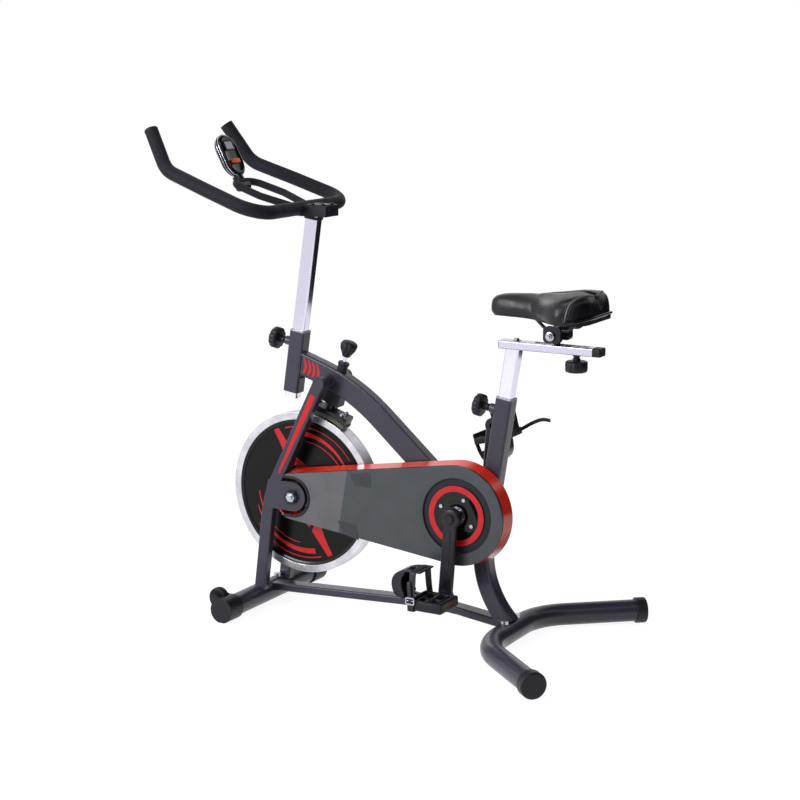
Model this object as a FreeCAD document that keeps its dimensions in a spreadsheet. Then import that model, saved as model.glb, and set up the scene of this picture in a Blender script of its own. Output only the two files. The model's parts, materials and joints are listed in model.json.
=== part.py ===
"""Indoor spin bike: a friction-braked flywheel trainer, modelled piece by piece in millimetres.

The frame stands on the plane Z = 0. +X points to the back of the bike, the rider faces -X, and the belt side is -Y.
The origin is the middle of the footprint of the whole bike.
"""
import FreeCAD, Part

import math
import os

import Sketcher

V = FreeCAD.Vector
AXIS = {"X": V(1, 0, 0), "Y": V(0, 1, 0), "Z": V(0, 0, 1)}
PLANES = {"XY": "XY_Plane", "XZ": "XZ_Plane", "YZ": "YZ_Plane"}

# Driving dimensions in millimetres or degrees, and what each one is.
SIZES = {
    "crank_x": 207.7,  # crank axis behind the middle of the footprint
    "crank_z": 279,  # crank axis above the floor
    "crank_len": 170,  # crank axis to pedal axis
    "crank_lean": 4.4,  # degrees that the left crank leans forward of straight down
    "wheel_x": -202.3,  # flywheel axis
    "wheel_z": 268.5,  # flywheel axis above the floor
    "wheel_r": 182,  # flywheel radius
    "wheel_w": 36,  # flywheel rim width
    "rim_depth": 17,  # radial depth of the rim
    "web_w": 28,  # thickness of the flywheel web
    "wheel_hub_r": 36,  # flywheel hub radius
    "wheel_hub_w": 40,  # flywheel hub width
    "wheel_bearing_r": 16,  # outer radius of the flywheel bearings
    "bearing_w": 9,  # width of a bearing
    "axle_r": 6,  # flywheel axle radius
    "shaft_gap": 0.05,  # radial running clearance of a shaft
    "gap": 0.4,  # clearance between pieces that pass each other
    "foot_r": 24,  # radius of the stabilizer tubes
    "foot_wall": 2,  # wall of the stabilizer tubes
    "cap_r": 28,  # radius of the end caps
    "foot_z": 27.2,  # stabilizer axis above the floor
    "cap_len": 24,  # length of a rear end cap
    "cap_end": 8,  # thickness of the closed end of a cap
    "front_foot_x": -302.3,  # front stabilizer axis
    "front_foot_y": 196,  # front cap face from the middle plane
    "rear_foot_x": 307.7,  # middle of the rear stabilizer
    "rear_tip_x": 498.7,  # centre of the rear cap face
    "rear_tip_y": 279,  # centre of the rear cap face from the middle plane
    "rear_sweep": 39.85,  # angle of the rear outriggers from the X axis
    "rear_bend_r": 140,  # bend radius of the rear stabilizer
    "sleeve_l": 37,  # head and seat tube section along X
    "sleeve_w": 33,  # head and seat tube section across
    "sleeve_wall": 1.8,  # wall of head and seat tube
    "sleeve_edge": 5,  # corner radius of head and seat tube
    "post_l": 31,  # post section along X
    "post_w": 24,  # post section across
    "post_wall": 1.5,  # wall of the posts
    "post_edge": 3.5,  # corner radius of the posts
    "bush_len": 60,  # length of a post bush
    "bush_lip": 3,  # thickness of the bush flange
    "head_x": -234.3,  # foot of the head tube axis
    "head_z": 493.5,  # foot of the head tube axis above the floor
    "head_len": 137,  # length of the head tube
    "head_tilt": 8.4,  # lean of the head tube
    "head_post_tail": 13,  # handlebar post below the head tube
    "head_post_top": 397,  # handlebar post top measured from the foot of the head tube
    "seat_x": 292.2,  # top of the seat tube axis
    "seat_z": 528,  # top of the seat tube above the floor
    "seat_tilt": 8.78,  # lean of the seat tube
    "leg_turn_x": 230.2,  # corner of the seat tube route
    "leg_turn_z": 126.7,  # corner of the seat tube route above the floor
    "leg_bend_r": 200,  # bend radius of the rear leg
    "leg_foot_x": 305.7,  # foot of the rear leg
    "leg_foot_z": 43,  # foot of the rear leg above the floor
    "main_d": 50,  # depth of the main tube
    "main_w": 30,  # width of the main tube
    "main_wall": 2,  # wall of the main tube
    "main_edge": 5,  # corner radius of the main tube
    "main_top_x": -230.3,  # upper end of the main tube route
    "main_top_z": 566,  # upper end of the main tube route
    "main_turn_x": -75.8,  # corner of the main tube route
    "main_turn_z": 516,  # corner of the main tube route
    "main_end_x": 244.7,  # lower end of the main tube route
    "main_end_z": 237,  # lower end of the main tube route
    "main_bend_r": 450,  # bend radius of the main tube
    "rail_w": 35,  # width of the bottom rail
    "rail_h": 18,  # height of the bottom rail
    "rail_wall": 1.5,  # wall of the bottom rail
    "rail_edge": 4,  # corner radius of the bottom rail
    "rail_front_x": -291.3,  # front end of the rail route
    "rail_front_z": 38.3,  # front end of the rail route
    "rail_turn_x": 134.7,  # top of the rail bow
    "rail_turn_z": 62.3,  # top of the rail bow
    "rail_back_x": 298.7,  # rear end of the rail route
    "rail_back_z": 43.4,  # rear end of the rail route
    "rail_bow_r": 800,  # radius of the rail bow
    "fork_out": 60,  # outer face of the fork legs from the middle plane
    "fork_t": 20,  # thickness of a fork leg
    "fork_w": 28,  # width of a fork leg
    "fork_edge": 3,  # corner radius of a fork leg
    "fork_foot_x": -293.3,  # foot of the fork legs
    "fork_foot_z": 44,  # foot of the fork legs
    "fork_turn_x": -265.3,  # corner of the fork legs
    "fork_turn_z": 262,  # corner of the fork legs
    "fork_top_x": -132.3,  # centre of the rounded fork top
    "fork_top_z": 529,  # centre of the rounded fork top
    "fork_bend_r": 250,  # bend radius of the fork legs
    "cross_r": 12.5,  # radius of the fork stubs
    "plate_r": 33,  # radius of the dropout plate
    "plate_t": 6,  # thickness of the dropout plate
    "nut_flats_r": 11,  # radius of the axle nuts
    "nut_t": 9,  # height of the axle nuts
    "axle_end": 73,  # end of the flywheel axle from the middle plane
    "shoulder_r": 10,  # radius of the axle spacers
    "shell_r": 22,  # radius of the bottom bracket shell
    "shell_bore_r": 17,  # bore of the bottom bracket shell
    "shell_half": 26,  # half length of the bottom bracket shell
    "spindle_r": 9.5,  # crank axle radius
    "pulley_in": 30,  # inner face of both pulleys from the middle plane
    "pulley_w": 16,  # width of both pulleys
    "big_pulley_r": 88,  # radius of the crank pulley
    "small_pulley_r": 28,  # radius of the flywheel pulley
    "pulley_lip": 3,  # height of a pulley flange
    "pulley_lip_w": 1.5,  # thickness of a pulley flange
    "belt_t": 3.5,  # thickness of the belt
    "belt_w": 12,  # width of the belt
    "cover_out": 60,  # outer face of the belt cover
    "cover_face_t": 5,  # thickness of the belt cover face
    "cover_in": 22,  # inner face of the belt cover
    "cover_r": 107,  # radius of the cover face round the crank
    "cover_nose_r": 51.7,  # radius of the cover face round the flywheel axle
    "cover_flare": 6,  # extra radius of the cover at its inner face
    "cover_wall": 3,  # wall of the cover
    "window_r": 43,  # radius of the cover window round the dropout
    "dish_r": 79,  # radius of the recess round the crank
    "dish_depth": 2.5,  # depth of the recess round the crank
    "hub_plate_r": 66,  # radius of the plate in the recess
    "crank_hole_r": 21,  # opening for the crank boss
    "screw_ring_r": 40,  # radius of the ring of cover screws
    "screw_turn": -26,  # angle of the first cover screw
    "cover_screw_r": 4,  # radius of a cover screw head
    "cover_screw_t": 2,  # height of a cover screw head
    "crank_in": 74,  # inner face of the crank arms from the middle plane
    "crank_t": 16,  # thickness of the crank arms
    "crank_boss_r": 17,  # radius of the crank boss
    "crank_eye_r": 13,  # radius of the pedal eye
    "crank_bolt_r": 9,  # radius of the crank bolt head
    "crank_bolt_t": 4,  # height of the crank bolt head
    "spindle_pedal_r": 6,  # radius of the pedal spindle
    "spindle_flange_r": 9,  # radius of the pedal spindle shoulder
    "spindle_flange_t": 4,  # thickness of the pedal spindle shoulder
    "spindle_end": 174,  # outer end of the pedal spindle from the middle plane
    "pedal_in": 96,  # inner face of the pedal
    "pedal_len": 78,  # pedal length
    "pedal_w": 80,  # pedal width
    "pedal_t": 22,  # pedal thickness
    "pedal_edge": 8,  # corner radius of the pedal outline
    "pedal_slot_l": 21,  # length of the pedal windows
    "pedal_slot_w": 54,  # width of the pedal windows
    "pedal_hang": 105,  # degrees that the right pedal hangs nose down from level
    "cage_t": 3,  # thickness of the toe cage
    "cage_len": 46,  # reach of the toe cage ahead of the pedal
    "cage_rise": 68,  # height of the toe cage
    "cage_w": 60,  # width of the toe cage
    "cage_bend_r": 14,  # bend radius of the toe cage
    "cage_drop": 20,  # fall of the toe cage towards its tip
    "cage_lap": 18,  # length of the toe cage over the pedal
    "cage_slot_l": 38,  # length of the opening in the toe cage
    "cage_slot_w": 36,  # width of the opening in the toe cage
    "strap_w": 16,  # width of the toe strap
    "strap_t": 2.5,  # thickness of the toe strap
    "brake_lean": 18.4,  # angle of the brake rod from upright
    "pad_len": 100,  # length of the felt pad
    "pad_w": 32,  # width of the felt pad
    "pad_top": 19,  # top of the felt pad above the top of the rim
    "pad_gap": 3,  # gap between felt pad and rim
    "shoe_t": 4,  # thickness of the brake shoe plate
    "shoe_boss_r": 10,  # radius of the shoe boss
    "shoe_boss_h": 9,  # height of the shoe boss
    "guide_r": 11,  # outer radius of the brake guide
    "guide_bore_r": 8,  # bore of the brake guide
    "guide_low": 37,  # lower end of the brake guide above the top of the rim
    "guide_top": 134,  # upper end of the brake guide above the top of the rim
    "guide_block_l": 44,  # length of the guide block
    "guide_block_w": 26,  # width of the guide block
    "guide_block_top": 80,  # top of the guide block above the top of the rim
    "brake_nut_low": 64,  # lower end of the threaded bush above the top of the rim
    "brake_nut_top": 108,  # upper end of the threaded bush above the top of the rim
    "rod_r": 4,  # radius of the brake rod
    "rod_low": 26,  # lower end of the brake rod above the top of the rim
    "rod_top": 166,  # upper end of the brake rod above the top of the rim
    "knob_low": 149,  # foot of the brake knob above the top of the rim
    "knob_top": 184,  # top of the brake knob above the top of the rim
    "knob_low_r": 9,  # radius of the brake knob at its foot
    "knob_top_r": 19,  # radius of the brake knob at its top
    "stem_front": 26,  # stem clamp ahead of the handlebar post axis
    "stem_back": 46,  # stem clamp behind the handlebar post axis
    "stem_z": 884,  # underside of the stem clamp
    "stem_t": 24,  # height of the stem clamp
    "stem_w": 52,  # width of the stem clamp
    "bar_r": 15,  # radius of the handlebar
    "bar_back_x": -200.3,  # rear run of the handlebar
    "bar_back_z": 900,  # rear run of the handlebar above the floor
    "bar_back_y": 184,  # corner of the handlebar from the middle plane
    "bar_bend_x": -448.2,  # bend of the handlebar horns
    "bar_bend_y": 161,  # bend of the handlebar horns from the middle plane
    "bar_bend_z": 981,  # bend of the handlebar horns above the floor
    "bar_mid_x": -340.3,  # outward bow of the handlebar arms
    "bar_mid_y": 174,  # outward bow of the handlebar arms from the middle plane
    "bar_mid_z": 946,  # outward bow of the handlebar arms above the floor
    "bar_mid_r": 220,  # bend radius of the handlebar arms
    "bar_tip_x": -502.3,  # tip of the handlebar
    "bar_tip_y": 140,  # tip of the handlebar from the middle plane
    "bar_tip_z": 1065.2,  # tip of the handlebar above the floor
    "bar_corner_r": 56,  # bend radius of the rear corners
    "bar_horn_r": 60,  # bend radius of the horns
    "inner_r": 8,  # radius of the inner bar
    "inner_back_y": 22,  # ends of the inner bar from the middle plane
    "inner_mid_x": -284.3,  # widest point of the inner bar
    "inner_mid_y": 48,  # half width of the inner bar
    "inner_mid_z": 925,  # height of the inner bar at its widest
    "inner_front_x": -362.3,  # front of the inner bar
    "inner_front_z": 949,  # front of the inner bar above the floor
    "inner_y": 40,  # half width of the front of the inner bar
    "inner_bend_r": 28,  # bend radius of the inner bar
    "console_x": -395.3,  # centre of the console
    "console_z": 1004,  # centre of the console above the floor
    "console_tilt": 28,  # lean of the console
    "console_w": 62,  # console width
    "console_h": 100,  # console height
    "console_t": 22,  # console thickness
    "bracket_t": 24,  # thickness of the console bracket
    "bracket_w": 28,  # width of the console bracket
    "bracket_h": 34,  # height of the console bracket
    "bracket_down": 59,  # middle of the console bracket below the console centre
    "button_w": 30,  # console button width
    "button_h": 9,  # console button height
    "button_t": 3,  # console button thickness
    "button_drop": 16,  # console button below the console centre
    "button_proud": 1.5,  # console button above the console face
    "pin_barrel_r": 10,  # radius of the pin barrel
    "pin_barrel_len": 14,  # length of the pin barrel
    "pin_r": 4.9,  # radius of the locking pin
    "pin_down": 28,  # locking pin below the top of its tube
    "knob_r": 24,  # radius of the pin knobs
    "knob_t": 18,  # thickness of the pin knobs
    "knob_reach": 32,  # pin knob ahead of its tube
    "knob_neck_r": 8,  # neck radius of the pin knobs
    "pin_short": 0.4,  # gap between locking pin and post
    "seat_post_tail": 200,  # seat post inside the seat tube
    "seat_post_top": 112,  # seat post above the seat tube
    "bar_l": 208,  # length of the slide bar
    "slide_x": 280.7,  # front end of the slide bar
    "slide_z": 634,  # underside of the slide bar
    "slide_h": 17.5,  # height of the slide bar
    "slide_w": 30,  # width of the slide bar
    "slide_wall": 2,  # wall of the slide bar
    "slide_edge": 3,  # corner radius of the slide bar
    "slot_front": 355.7,  # front end of the bar slots
    "slot_back": 477.7,  # rear end of the bar slots
    "slot_w": 15,  # width of the slots
    "end_cap_t": 17,  # thickness of the bar end cap
    "end_cap_plug": 10,  # depth of the bar end plug
    "slider_x": 426.7,  # middle of the saddle slider
    "slider_len": 60,  # length of the saddle slider
    "slider_down": 1,  # clearance below the slider
    "stub_r": 7,  # radius of the saddle stub
    "stub_x": 404.7,  # saddle stub
    "clamp_l": 38,  # length of the saddle clamp
    "clamp_w": 62,  # width of the saddle clamp
    "clamp_z": 672,  # pivot height of the saddle clamp
    "clamp_low": 658,  # underside of the saddle clamp
    "clamp_top": 691,  # top of the saddle clamp
    "clamp_in": 18.4,  # inner face of the clamp cheeks from the middle plane
    "barrel_half": 18,  # half width of the pivot barrel
    "pivot_r": 4,  # radius of the clamp bolt
    "clamp_r": 11,  # radius of the pivot barrel of the carriage
    "slide_knob_x": 448.7,  # knob under the slide bar
    "slide_knob_r": 23,  # radius of the slide knob
    "slide_knob_t": 23,  # thickness of the slide knob
    "slide_knob_drop": 13,  # neck of the slide knob
    "slide_screw_r": 5,  # radius of the slide knob screw
    "rail_rod_r": 3.5,  # radius of the saddle rails
    "rail_rod_y": 25,  # saddle rail from the middle plane
    "rail_rod_z": 685,  # straight run of the saddle rails
    "rail_rod_front": 390.7,  # front bend of the saddle rails
    "rail_rod_back": 441.7,  # rear bend of the saddle rails
    "rail_rod_rise": 28,  # length of the sloping ends of the saddle rails along X
    "saddle_nose_x": 259.7,  # front of the saddle
    "saddle_back_x": 501.7,  # rear of the saddle
    "saddle_base_z": 704,  # underside of the saddle base
    "saddle_base_t": 12,  # thickness of the saddle base
    "saddle_top_z": 763,  # top of the saddle pad
    "saddle_nose_y": 26,  # half width of the saddle nose
    "saddle_mid_x": 357.7,  # where the saddle starts to widen
    "saddle_mid_y": 34,  # half width where the saddle starts to widen
    "saddle_wide_x": 440.7,  # where the saddle is full width
    "saddle_half": 95,  # half width of the saddle
    "saddle_nose_r": 24,  # corner radius of the saddle nose
    "saddle_waist_r": 90,  # radius of the hollow of the saddle
    "saddle_hip_r": 43,  # radius of the saddle corners
    "saddle_nose_z": 748,  # top of the saddle nose
    "saddle_dip_x": 384.7,  # lowest point of the saddle top
    "saddle_dip_z": 754,  # height of the lowest point of the saddle top
    "saddle_tail_z": 744,  # height of the rear end of the saddle
    "base_inset": 5,  # saddle base inside the pad outline
    "transport_x": -327.3,  # transport wheel axis
    "transport_z": 48.2,  # transport wheel axis above the floor
    "transport_r": 22,  # transport wheel radius
    "transport_w": 18,  # transport wheel width
    "transport_y": 167,  # middle of the transport wheels from the middle plane
    "transport_pin_r": 4,  # radius of the transport wheel pins
    "transport_arm_r": 11,  # radius of the arm that holds a transport wheel
    "cap_inner_y": 150,  # inner end of the front caps
    "foot_bolt_r": 8,  # radius of the stabilizer bolt heads
    "foot_bolt_y": 27,  # stabilizer bolts from the middle plane
    "foot_bolt_t": 6,  # height of the stabilizer bolt heads
}


class Size:
    """A number together with the spreadsheet expression that gives it."""

    def __init__(self, value, text):
        self.value = float(value)
        self.text = text

    def __add__(self, other):
        other = size(other)
        return Size(self.value + other.value, f"({self.text} + {other.text})")

    def __sub__(self, other):
        other = size(other)
        return Size(self.value - other.value, f"({self.text} - {other.text})")

    def __mul__(self, other):
        other = size(other)
        return Size(self.value * other.value, f"({self.text} * {other.text})")

    def __truediv__(self, other):
        other = size(other)
        return Size(self.value / other.value, f"({self.text} / {other.text})")

    def __neg__(self):
        return Size(-self.value, f"(0 - {self.text})")

    def __radd__(self, other):
        return size(other) + self

    def __rsub__(self, other):
        return size(other) - self

    def __rmul__(self, other):
        return size(other) * self


def size(thing):
    return thing if isinstance(thing, Size) else Size(thing, repr(float(thing)))


def trig(name, angle):
    value = getattr(math, name)(math.radians(angle.value))
    return Size(value, f"{name}({angle.text} * 1deg)")


def make_sheet(doc):
    """Writes every driving dimension to the sheet and returns them as sizes."""
    sheet = doc.addObject("Spreadsheet::Sheet", "Sizes")
    sizes = {}
    for row, (alias, value) in enumerate(SIZES.items(), start=1):
        sheet.set(f"A{row}", alias)
        sheet.set(f"B{row}", str(value))
        sheet.setAlias(f"B{row}", alias)
        sizes[alias] = Size(value, f"Sizes.{alias}")
    doc.recompute()
    return sizes


DOC = FreeCAD.newDocument("SpinBike")
D = type("Dimensions", (), make_sheet(DOC))
NODES = {}


# ---------------------------------------------------------------- helpers

def bind(thing, prop, value):
    thing.setExpression(prop, size(value).text)


def place(thing, x=0, y=0, z=0, turn=None, about="Y"):
    """Puts a piece at a point, turned about one axis by an angle in degrees."""
    if turn is not None:
        thing.Placement = FreeCAD.Placement(V(), FreeCAD.Rotation(AXIS[about], 1))
        bind(thing, "Placement.Rotation.Angle", turn)
    for key, value in zip("xyz", (x, y, z)):
        bind(thing, f"Placement.Base.{key}", value)
    return thing


def node(name, thing):
    """Registers a finished sub-part under its own name."""
    thing.Label = name
    NODES[name] = thing
    return thing


def new_body(name):
    body = DOC.addObject("PartDesign::Body", name + "_body")
    body.Label = name + "_body"
    return body


def sketch_on(body, plane, offset=0):
    """A sketch on one of the body's own planes, moved along that plane's normal."""
    sketch = body.newObject("Sketcher::SketchObject", body.Name + "_sketch")
    origin_plane = [f for f in body.Origin.OriginFeatures if f.Role == PLANES[plane]][0]
    sketch.AttachmentSupport = [(origin_plane, "")]
    sketch.MapMode = "FlatFace"
    bind(sketch, "AttachmentOffset.Base.z", offset)
    return sketch


def pin_point(sketch, geometry, pos, x, y):
    """Ties a point of a sketch to coordinates."""
    for kind, value, axis in (("DistanceX", size(x), -2), ("DistanceY", size(y), -1)):
        if value.value == 0:
            sketch.addConstraint(Sketcher.Constraint("PointOnObject", geometry, pos, axis))
        else:
            index = sketch.addConstraint(
                Sketcher.Constraint(kind, -1, 1, geometry, pos, value.value))
            bind(sketch, f"Constraints[{index}]", value)


def tie_radius(sketch, geometry, radius):
    index = sketch.addConstraint(Sketcher.Constraint("Radius", geometry, radius.value))
    bind(sketch, f"Constraints[{index}]", radius)


def circle(sketch, x, y, radius):
    x, y, radius = size(x), size(y), size(radius)
    shape = Part.Circle(V(x.value, y.value, 0), AXIS["Z"], radius.value)
    geometry = sketch.addGeometry(shape)
    pin_point(sketch, geometry, 3, x, y)
    tie_radius(sketch, geometry, radius)


def arc_between(centre, start, end, radius):
    """An arc from start to end the short way; also says whether it runs backwards."""
    first = math.atan2(start.y - centre.y, start.x - centre.x)
    last = math.atan2(end.y - centre.y, end.x - centre.x)
    swept = (last - first) % (2 * math.pi)
    backwards = swept > math.pi
    if backwards:
        first, last = last, first
    whole = Part.Circle(centre, AXIS["Z"], radius)
    return Part.ArcOfCircle(whole, first, last), backwards


def trace(sketch, corners, closed=True):
    """Lines through corners (x, y, radius); a corner with no radius stays sharp."""
    corners = [(size(x), size(y), None if r is None else size(r)) for x, y, r in corners]
    count = len(corners)
    points = [V(x.value, y.value, 0) for x, y, r in corners]
    leave, arrive, arcs = {}, {}, {}
    for i, (x, y, radius) in enumerate(corners):
        leave[i] = arrive[i] = points[i]
        if radius is None:
            continue
        back = (points[i - 1] - points[i]).normalize()
        ahead = (points[(i + 1) % count] - points[i]).normalize()
        half = back.getAngle(ahead) / 2
        reach = radius.value / math.tan(half)
        arrive[i] = points[i] + back * reach
        leave[i] = points[i] + ahead * reach
        centre = points[i] + (back + ahead).normalize() * (radius.value / math.sin(half))
        arcs[i] = arc_between(centre, arrive[i], leave[i], radius.value)
    last = count if closed else count - 1
    lines = [sketch.addGeometry(Part.LineSegment(leave[i], arrive[(i + 1) % count]))
             for i in range(last)]
    for i, (x, y, radius) in enumerate(corners):
        before = lines[i - 1] if closed or i > 0 else None
        after = lines[i] if i < last else None
        if radius is None:
            if before is not None and after is not None:
                sketch.addConstraint(Sketcher.Constraint("Coincident", before, 2, after, 1))
            where = (after, 1) if after is not None else (before, 2)
            pin_point(sketch, where[0], where[1], x, y)
            continue
        corner = sketch.addGeometry(Part.Point(points[i]), True)
        pin_point(sketch, corner, 1, x, y)
        sketch.addConstraint(Sketcher.Constraint("PointOnObject", corner, 1, before))
        sketch.addConstraint(Sketcher.Constraint("PointOnObject", corner, 1, after))
        shape, backwards = arcs[i]
        arc = sketch.addGeometry(shape)
        near, far = (2, 1) if backwards else (1, 2)
        sketch.addConstraint(Sketcher.Constraint("Tangent", before, 2, arc, near))
        sketch.addConstraint(Sketcher.Constraint("Tangent", arc, far, after, 1))
        tie_radius(sketch, arc, radius)


def rectangle(sketch, length, width, radius=None, x=0, y=0):
    """A rectangle about a centre, with rounded corners when a radius is given."""
    half_l, half_w = size(length) / 2, size(width) / 2
    signs = ((-1, -1), (1, -1), (1, 1), (-1, 1))
    trace(sketch, [(size(x) + half_l * a, size(y) + half_w * b, radius) for a, b in signs])


def capsule(sketch, x1, y1, r1, x2, y2, r2):
    """The outline of a belt round two circles."""
    x1, y1, r1, x2, y2, r2 = (size(t) for t in (x1, y1, r1, x2, y2, r2))
    first, second = V(x1.value, y1.value, 0), V(x2.value, y2.value, 0)
    along = math.atan2((second - first).y, (second - first).x)
    spread = math.acos((r1.value - r2.value) / (second - first).Length)
    touch = []
    for side in (1, -1):
        direction = V(math.cos(along + side * spread), math.sin(along + side * spread), 0)
        touch.append((first + direction * r1.value, second + direction * r2.value))
    upper = sketch.addGeometry(Part.LineSegment(touch[0][0], touch[0][1]))
    lower = sketch.addGeometry(Part.LineSegment(touch[1][1], touch[1][0]))
    arcs = []
    turns = ((first, r1, along + spread, along - spread + 2 * math.pi),
             (second, r2, along - spread, along + spread))
    for centre, radius, start, end in turns:
        whole = Part.Circle(centre, AXIS["Z"], radius.value)
        arcs.append(sketch.addGeometry(Part.ArcOfCircle(whole, start, end)))
    for a, pa, b, pb in ((upper, 1, arcs[0], 1), (upper, 2, arcs[1], 2),
                         (lower, 1, arcs[1], 1), (lower, 2, arcs[0], 2)):
        sketch.addConstraint(Sketcher.Constraint("Tangent", a, pa, b, pb))
    pin_point(sketch, arcs[0], 3, x1, y1)
    pin_point(sketch, arcs[1], 3, x2, y2)
    tie_radius(sketch, arcs[0], r1)
    tie_radius(sketch, arcs[1], r2)


def pad(body, sketch, length, both=False, back=False):
    feature = body.newObject("PartDesign::Pad", body.Name + "_pad")
    feature.Profile = sketch
    feature.Midplane = both
    feature.Reversed = back
    bind(feature, "Length", length)
    return feature


def pocket(body, sketch, length, back=False):
    feature = body.newObject("PartDesign::Pocket", body.Name + "_pocket")
    feature.Profile = sketch
    feature.Reversed = back
    bind(feature, "Length", length)
    return feature


def layer(body, side, near, thick, draw, cut=False):
    """Pads or cuts an XZ outline outward from a distance to the middle plane.

    side 1 is the belt side at -Y, side -1 the other side. draw puts the outline on the sketch.
    """
    sketch = sketch_on(body, "XZ", size(near) * side)
    draw(sketch)
    if cut:
        return pocket(body, sketch, thick, back=side > 0)
    return pad(body, sketch, thick, back=side < 0)


def slab(name, side, near, thick, draw):
    """A plate of one outline, standing in an XZ plane."""
    body = new_body(name)
    layer(body, side, near, thick, draw)
    return body


def turned(name, points, axis="Y"):
    """A piece turned on a lathe: points (along, radius, corner radius) round an axis."""
    body = new_body(name)
    plane = {"X": "XY", "Y": "XY", "Z": "XZ"}[axis]
    sketch = sketch_on(body, plane)
    if axis == "X":
        trace(sketch, [(along, radius, corner) for along, radius, corner in points])
    else:
        trace(sketch, [(radius, along, corner) for along, radius, corner in points])
    feature = body.newObject("PartDesign::Revolution", body.Name + "_turn")
    feature.Profile = sketch
    feature.ReferenceAxis = (sketch, ["H_Axis" if axis == "X" else "V_Axis"])
    feature.Angle = 360
    return body


def ring(name, start, end, low, high, axis="Y", corner=None):
    """A plain ring or, with a low radius of zero, a plain rod."""
    return turned(name, [(start, high, corner), (end, high, corner), (end, low, None),
                         (start, low, None)], axis)


def swept(name, route, profile, plane="XZ"):
    """Sweeps a profile along a planar route."""
    body = new_body(name)
    spine = sketch_on(body, plane)
    trace(spine, route, closed=False)
    section = body.newObject("Sketcher::SketchObject", body.Name + "_section")
    DOC.recompute()
    section.AttachmentSupport = [(spine, "Edge1")]
    section.MapMode = "NormalToEdge"
    section.MapPathParameter = 0
    profile(section)
    feature = body.newObject("PartDesign::AdditivePipe", body.Name + "_pipe")
    feature.Profile = section
    feature.Spine = (spine, [])
    return body


def cut(name, base, *tools):
    """Takes tool shapes away from a base."""
    for tool in tools:
        feature = DOC.addObject("Part::Cut", name + "_cut")
        feature.Base = base
        feature.Tool = tool
        base = feature
    return base


def fuse(name, *things):
    feature = DOC.addObject("Part::MultiFuse", name + "_fuse")
    feature.Shapes = list(things)
    return feature


def rod(name, radius, length, x=0, y=0, z=0, turn=None, about="Y"):
    feature = DOC.addObject("Part::Cylinder", name)
    bind(feature, "Radius", radius)
    bind(feature, "Height", length)
    return place(feature, x, y, z, turn, about)


def cross_rod(name, radius, half, x, z):
    """A cylinder across the bike, from -half to +half."""
    return rod(name, radius, size(half) * 2, x, size(half), z, turn=90, about="X")


def box(name, length, width, height, x=0, y=0, z=0):
    """A box centred on y, with x and z at its low corner."""
    feature = DOC.addObject("Part::Box", name)
    bind(feature, "Length", length)
    bind(feature, "Width", width)
    bind(feature, "Height", height)
    return place(feature, x, size(y) - size(width) / 2, z)


def tube_section(length, width, wall, edge):
    """The profile of a rectangular tube with rounded corners."""
    def draw(sketch):
        rectangle(sketch, length, width, edge)
        rectangle(sketch, length - wall * 2, width - wall * 2, edge - wall)
    return draw


def round_section(radius, wall):
    def draw(sketch):
        circle(sketch, 0, 0, radius)
        circle(sketch, 0, 0, radius - wall)
    return draw


def solid_section(length, width, edge):
    def draw(sketch):
        rectangle(sketch, length, width, edge)
    return draw


def upright(name, length, width, wall, edge, low, high, plug=False):
    """A rectangular tube along its own Z from low to high."""
    body = new_body(name)
    sketch = sketch_on(body, "XY", low)
    rectangle(sketch, length, width, edge)
    if not plug:
        rectangle(sketch, length - wall * 2, width - wall * 2, edge - wall)
    pad(body, sketch, size(high) - low)
    return body


def bent_tube(points, radius):
    """A round bar along straight runs joined by arcs: points (x, y, z, bend radius)."""
    spots = [V(x.value, y.value, z.value) for x, y, z, bend in points]
    edges, start = [], spots[0]
    for i in range(1, len(spots) - 1):
        back = (spots[i - 1] - spots[i]).normalize()
        ahead = (spots[i + 1] - spots[i]).normalize()
        half = back.getAngle(ahead) / 2
        bend = points[i][3].value
        arrive = spots[i] + back * (bend / math.tan(half))
        leave = spots[i] + ahead * (bend / math.tan(half))
        middle = spots[i] + (back + ahead).normalize() * (bend / math.sin(half) - bend)
        edges.append(Part.LineSegment(start, arrive).toShape())
        edges.append(Part.Arc(arrive, middle, leave).toShape())
        start = leave
    edges.append(Part.LineSegment(start, spots[-1]).toShape())
    path = Part.Wire(edges)
    ahead = (spots[1] - spots[0]).normalize()
    profile = Part.Wire([Part.Circle(spots[0], ahead, radius.value).toShape()])
    return path.makePipeShell([profile], True, False)


def feature_of(name, shape):
    feature = DOC.addObject("Part::Feature", name)
    feature.Shape = shape
    return feature


# ---------------------------------------------------------------- frame

def head_place(thing):
    """Sets a piece on the head tube axis, measured from the foot of the head tube."""
    return place(thing, D.head_x, 0, D.head_z, D.head_tilt)


def seat_place(thing):
    """Sets a piece on the seat tube axis, measured from the top of the seat tube."""
    return place(thing, D.seat_x, 0, D.seat_z, D.seat_tilt)


def brake_place(thing):
    """Sets a piece on the brake rod axis, measured from the top of the rim."""
    return place(thing, D.wheel_x + D.wheel_r * trig("sin", D.brake_lean), 0,
                 D.wheel_z + D.wheel_r * trig("cos", D.brake_lean), D.brake_lean)


def wheel_place(thing):
    return place(thing, D.wheel_x, 0, D.wheel_z)


def crank_place(thing):
    return place(thing, D.crank_x, 0, D.crank_z)


def pin_hole(name, put, height):
    """The cross bore of a locking pin barrel, in front of a sleeve tube."""
    hole = ring(name, D.sleeve_l / -2 - D.pin_barrel_len * 2, 0, 0, D.pin_r + D.shaft_gap, "X")
    return lifted(hole, put, height)


def lifted(thing, put, height):
    """Raises a lathe piece along a leaning axis before it is set there."""
    if put is head_place:
        tilt, x, z = D.head_tilt, D.head_x, D.head_z
    else:
        tilt, x, z = D.seat_tilt, D.seat_x, D.seat_z
    return place(thing, x + height * trig("sin", tilt), 0, z + height * trig("cos", tilt), tilt)


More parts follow.
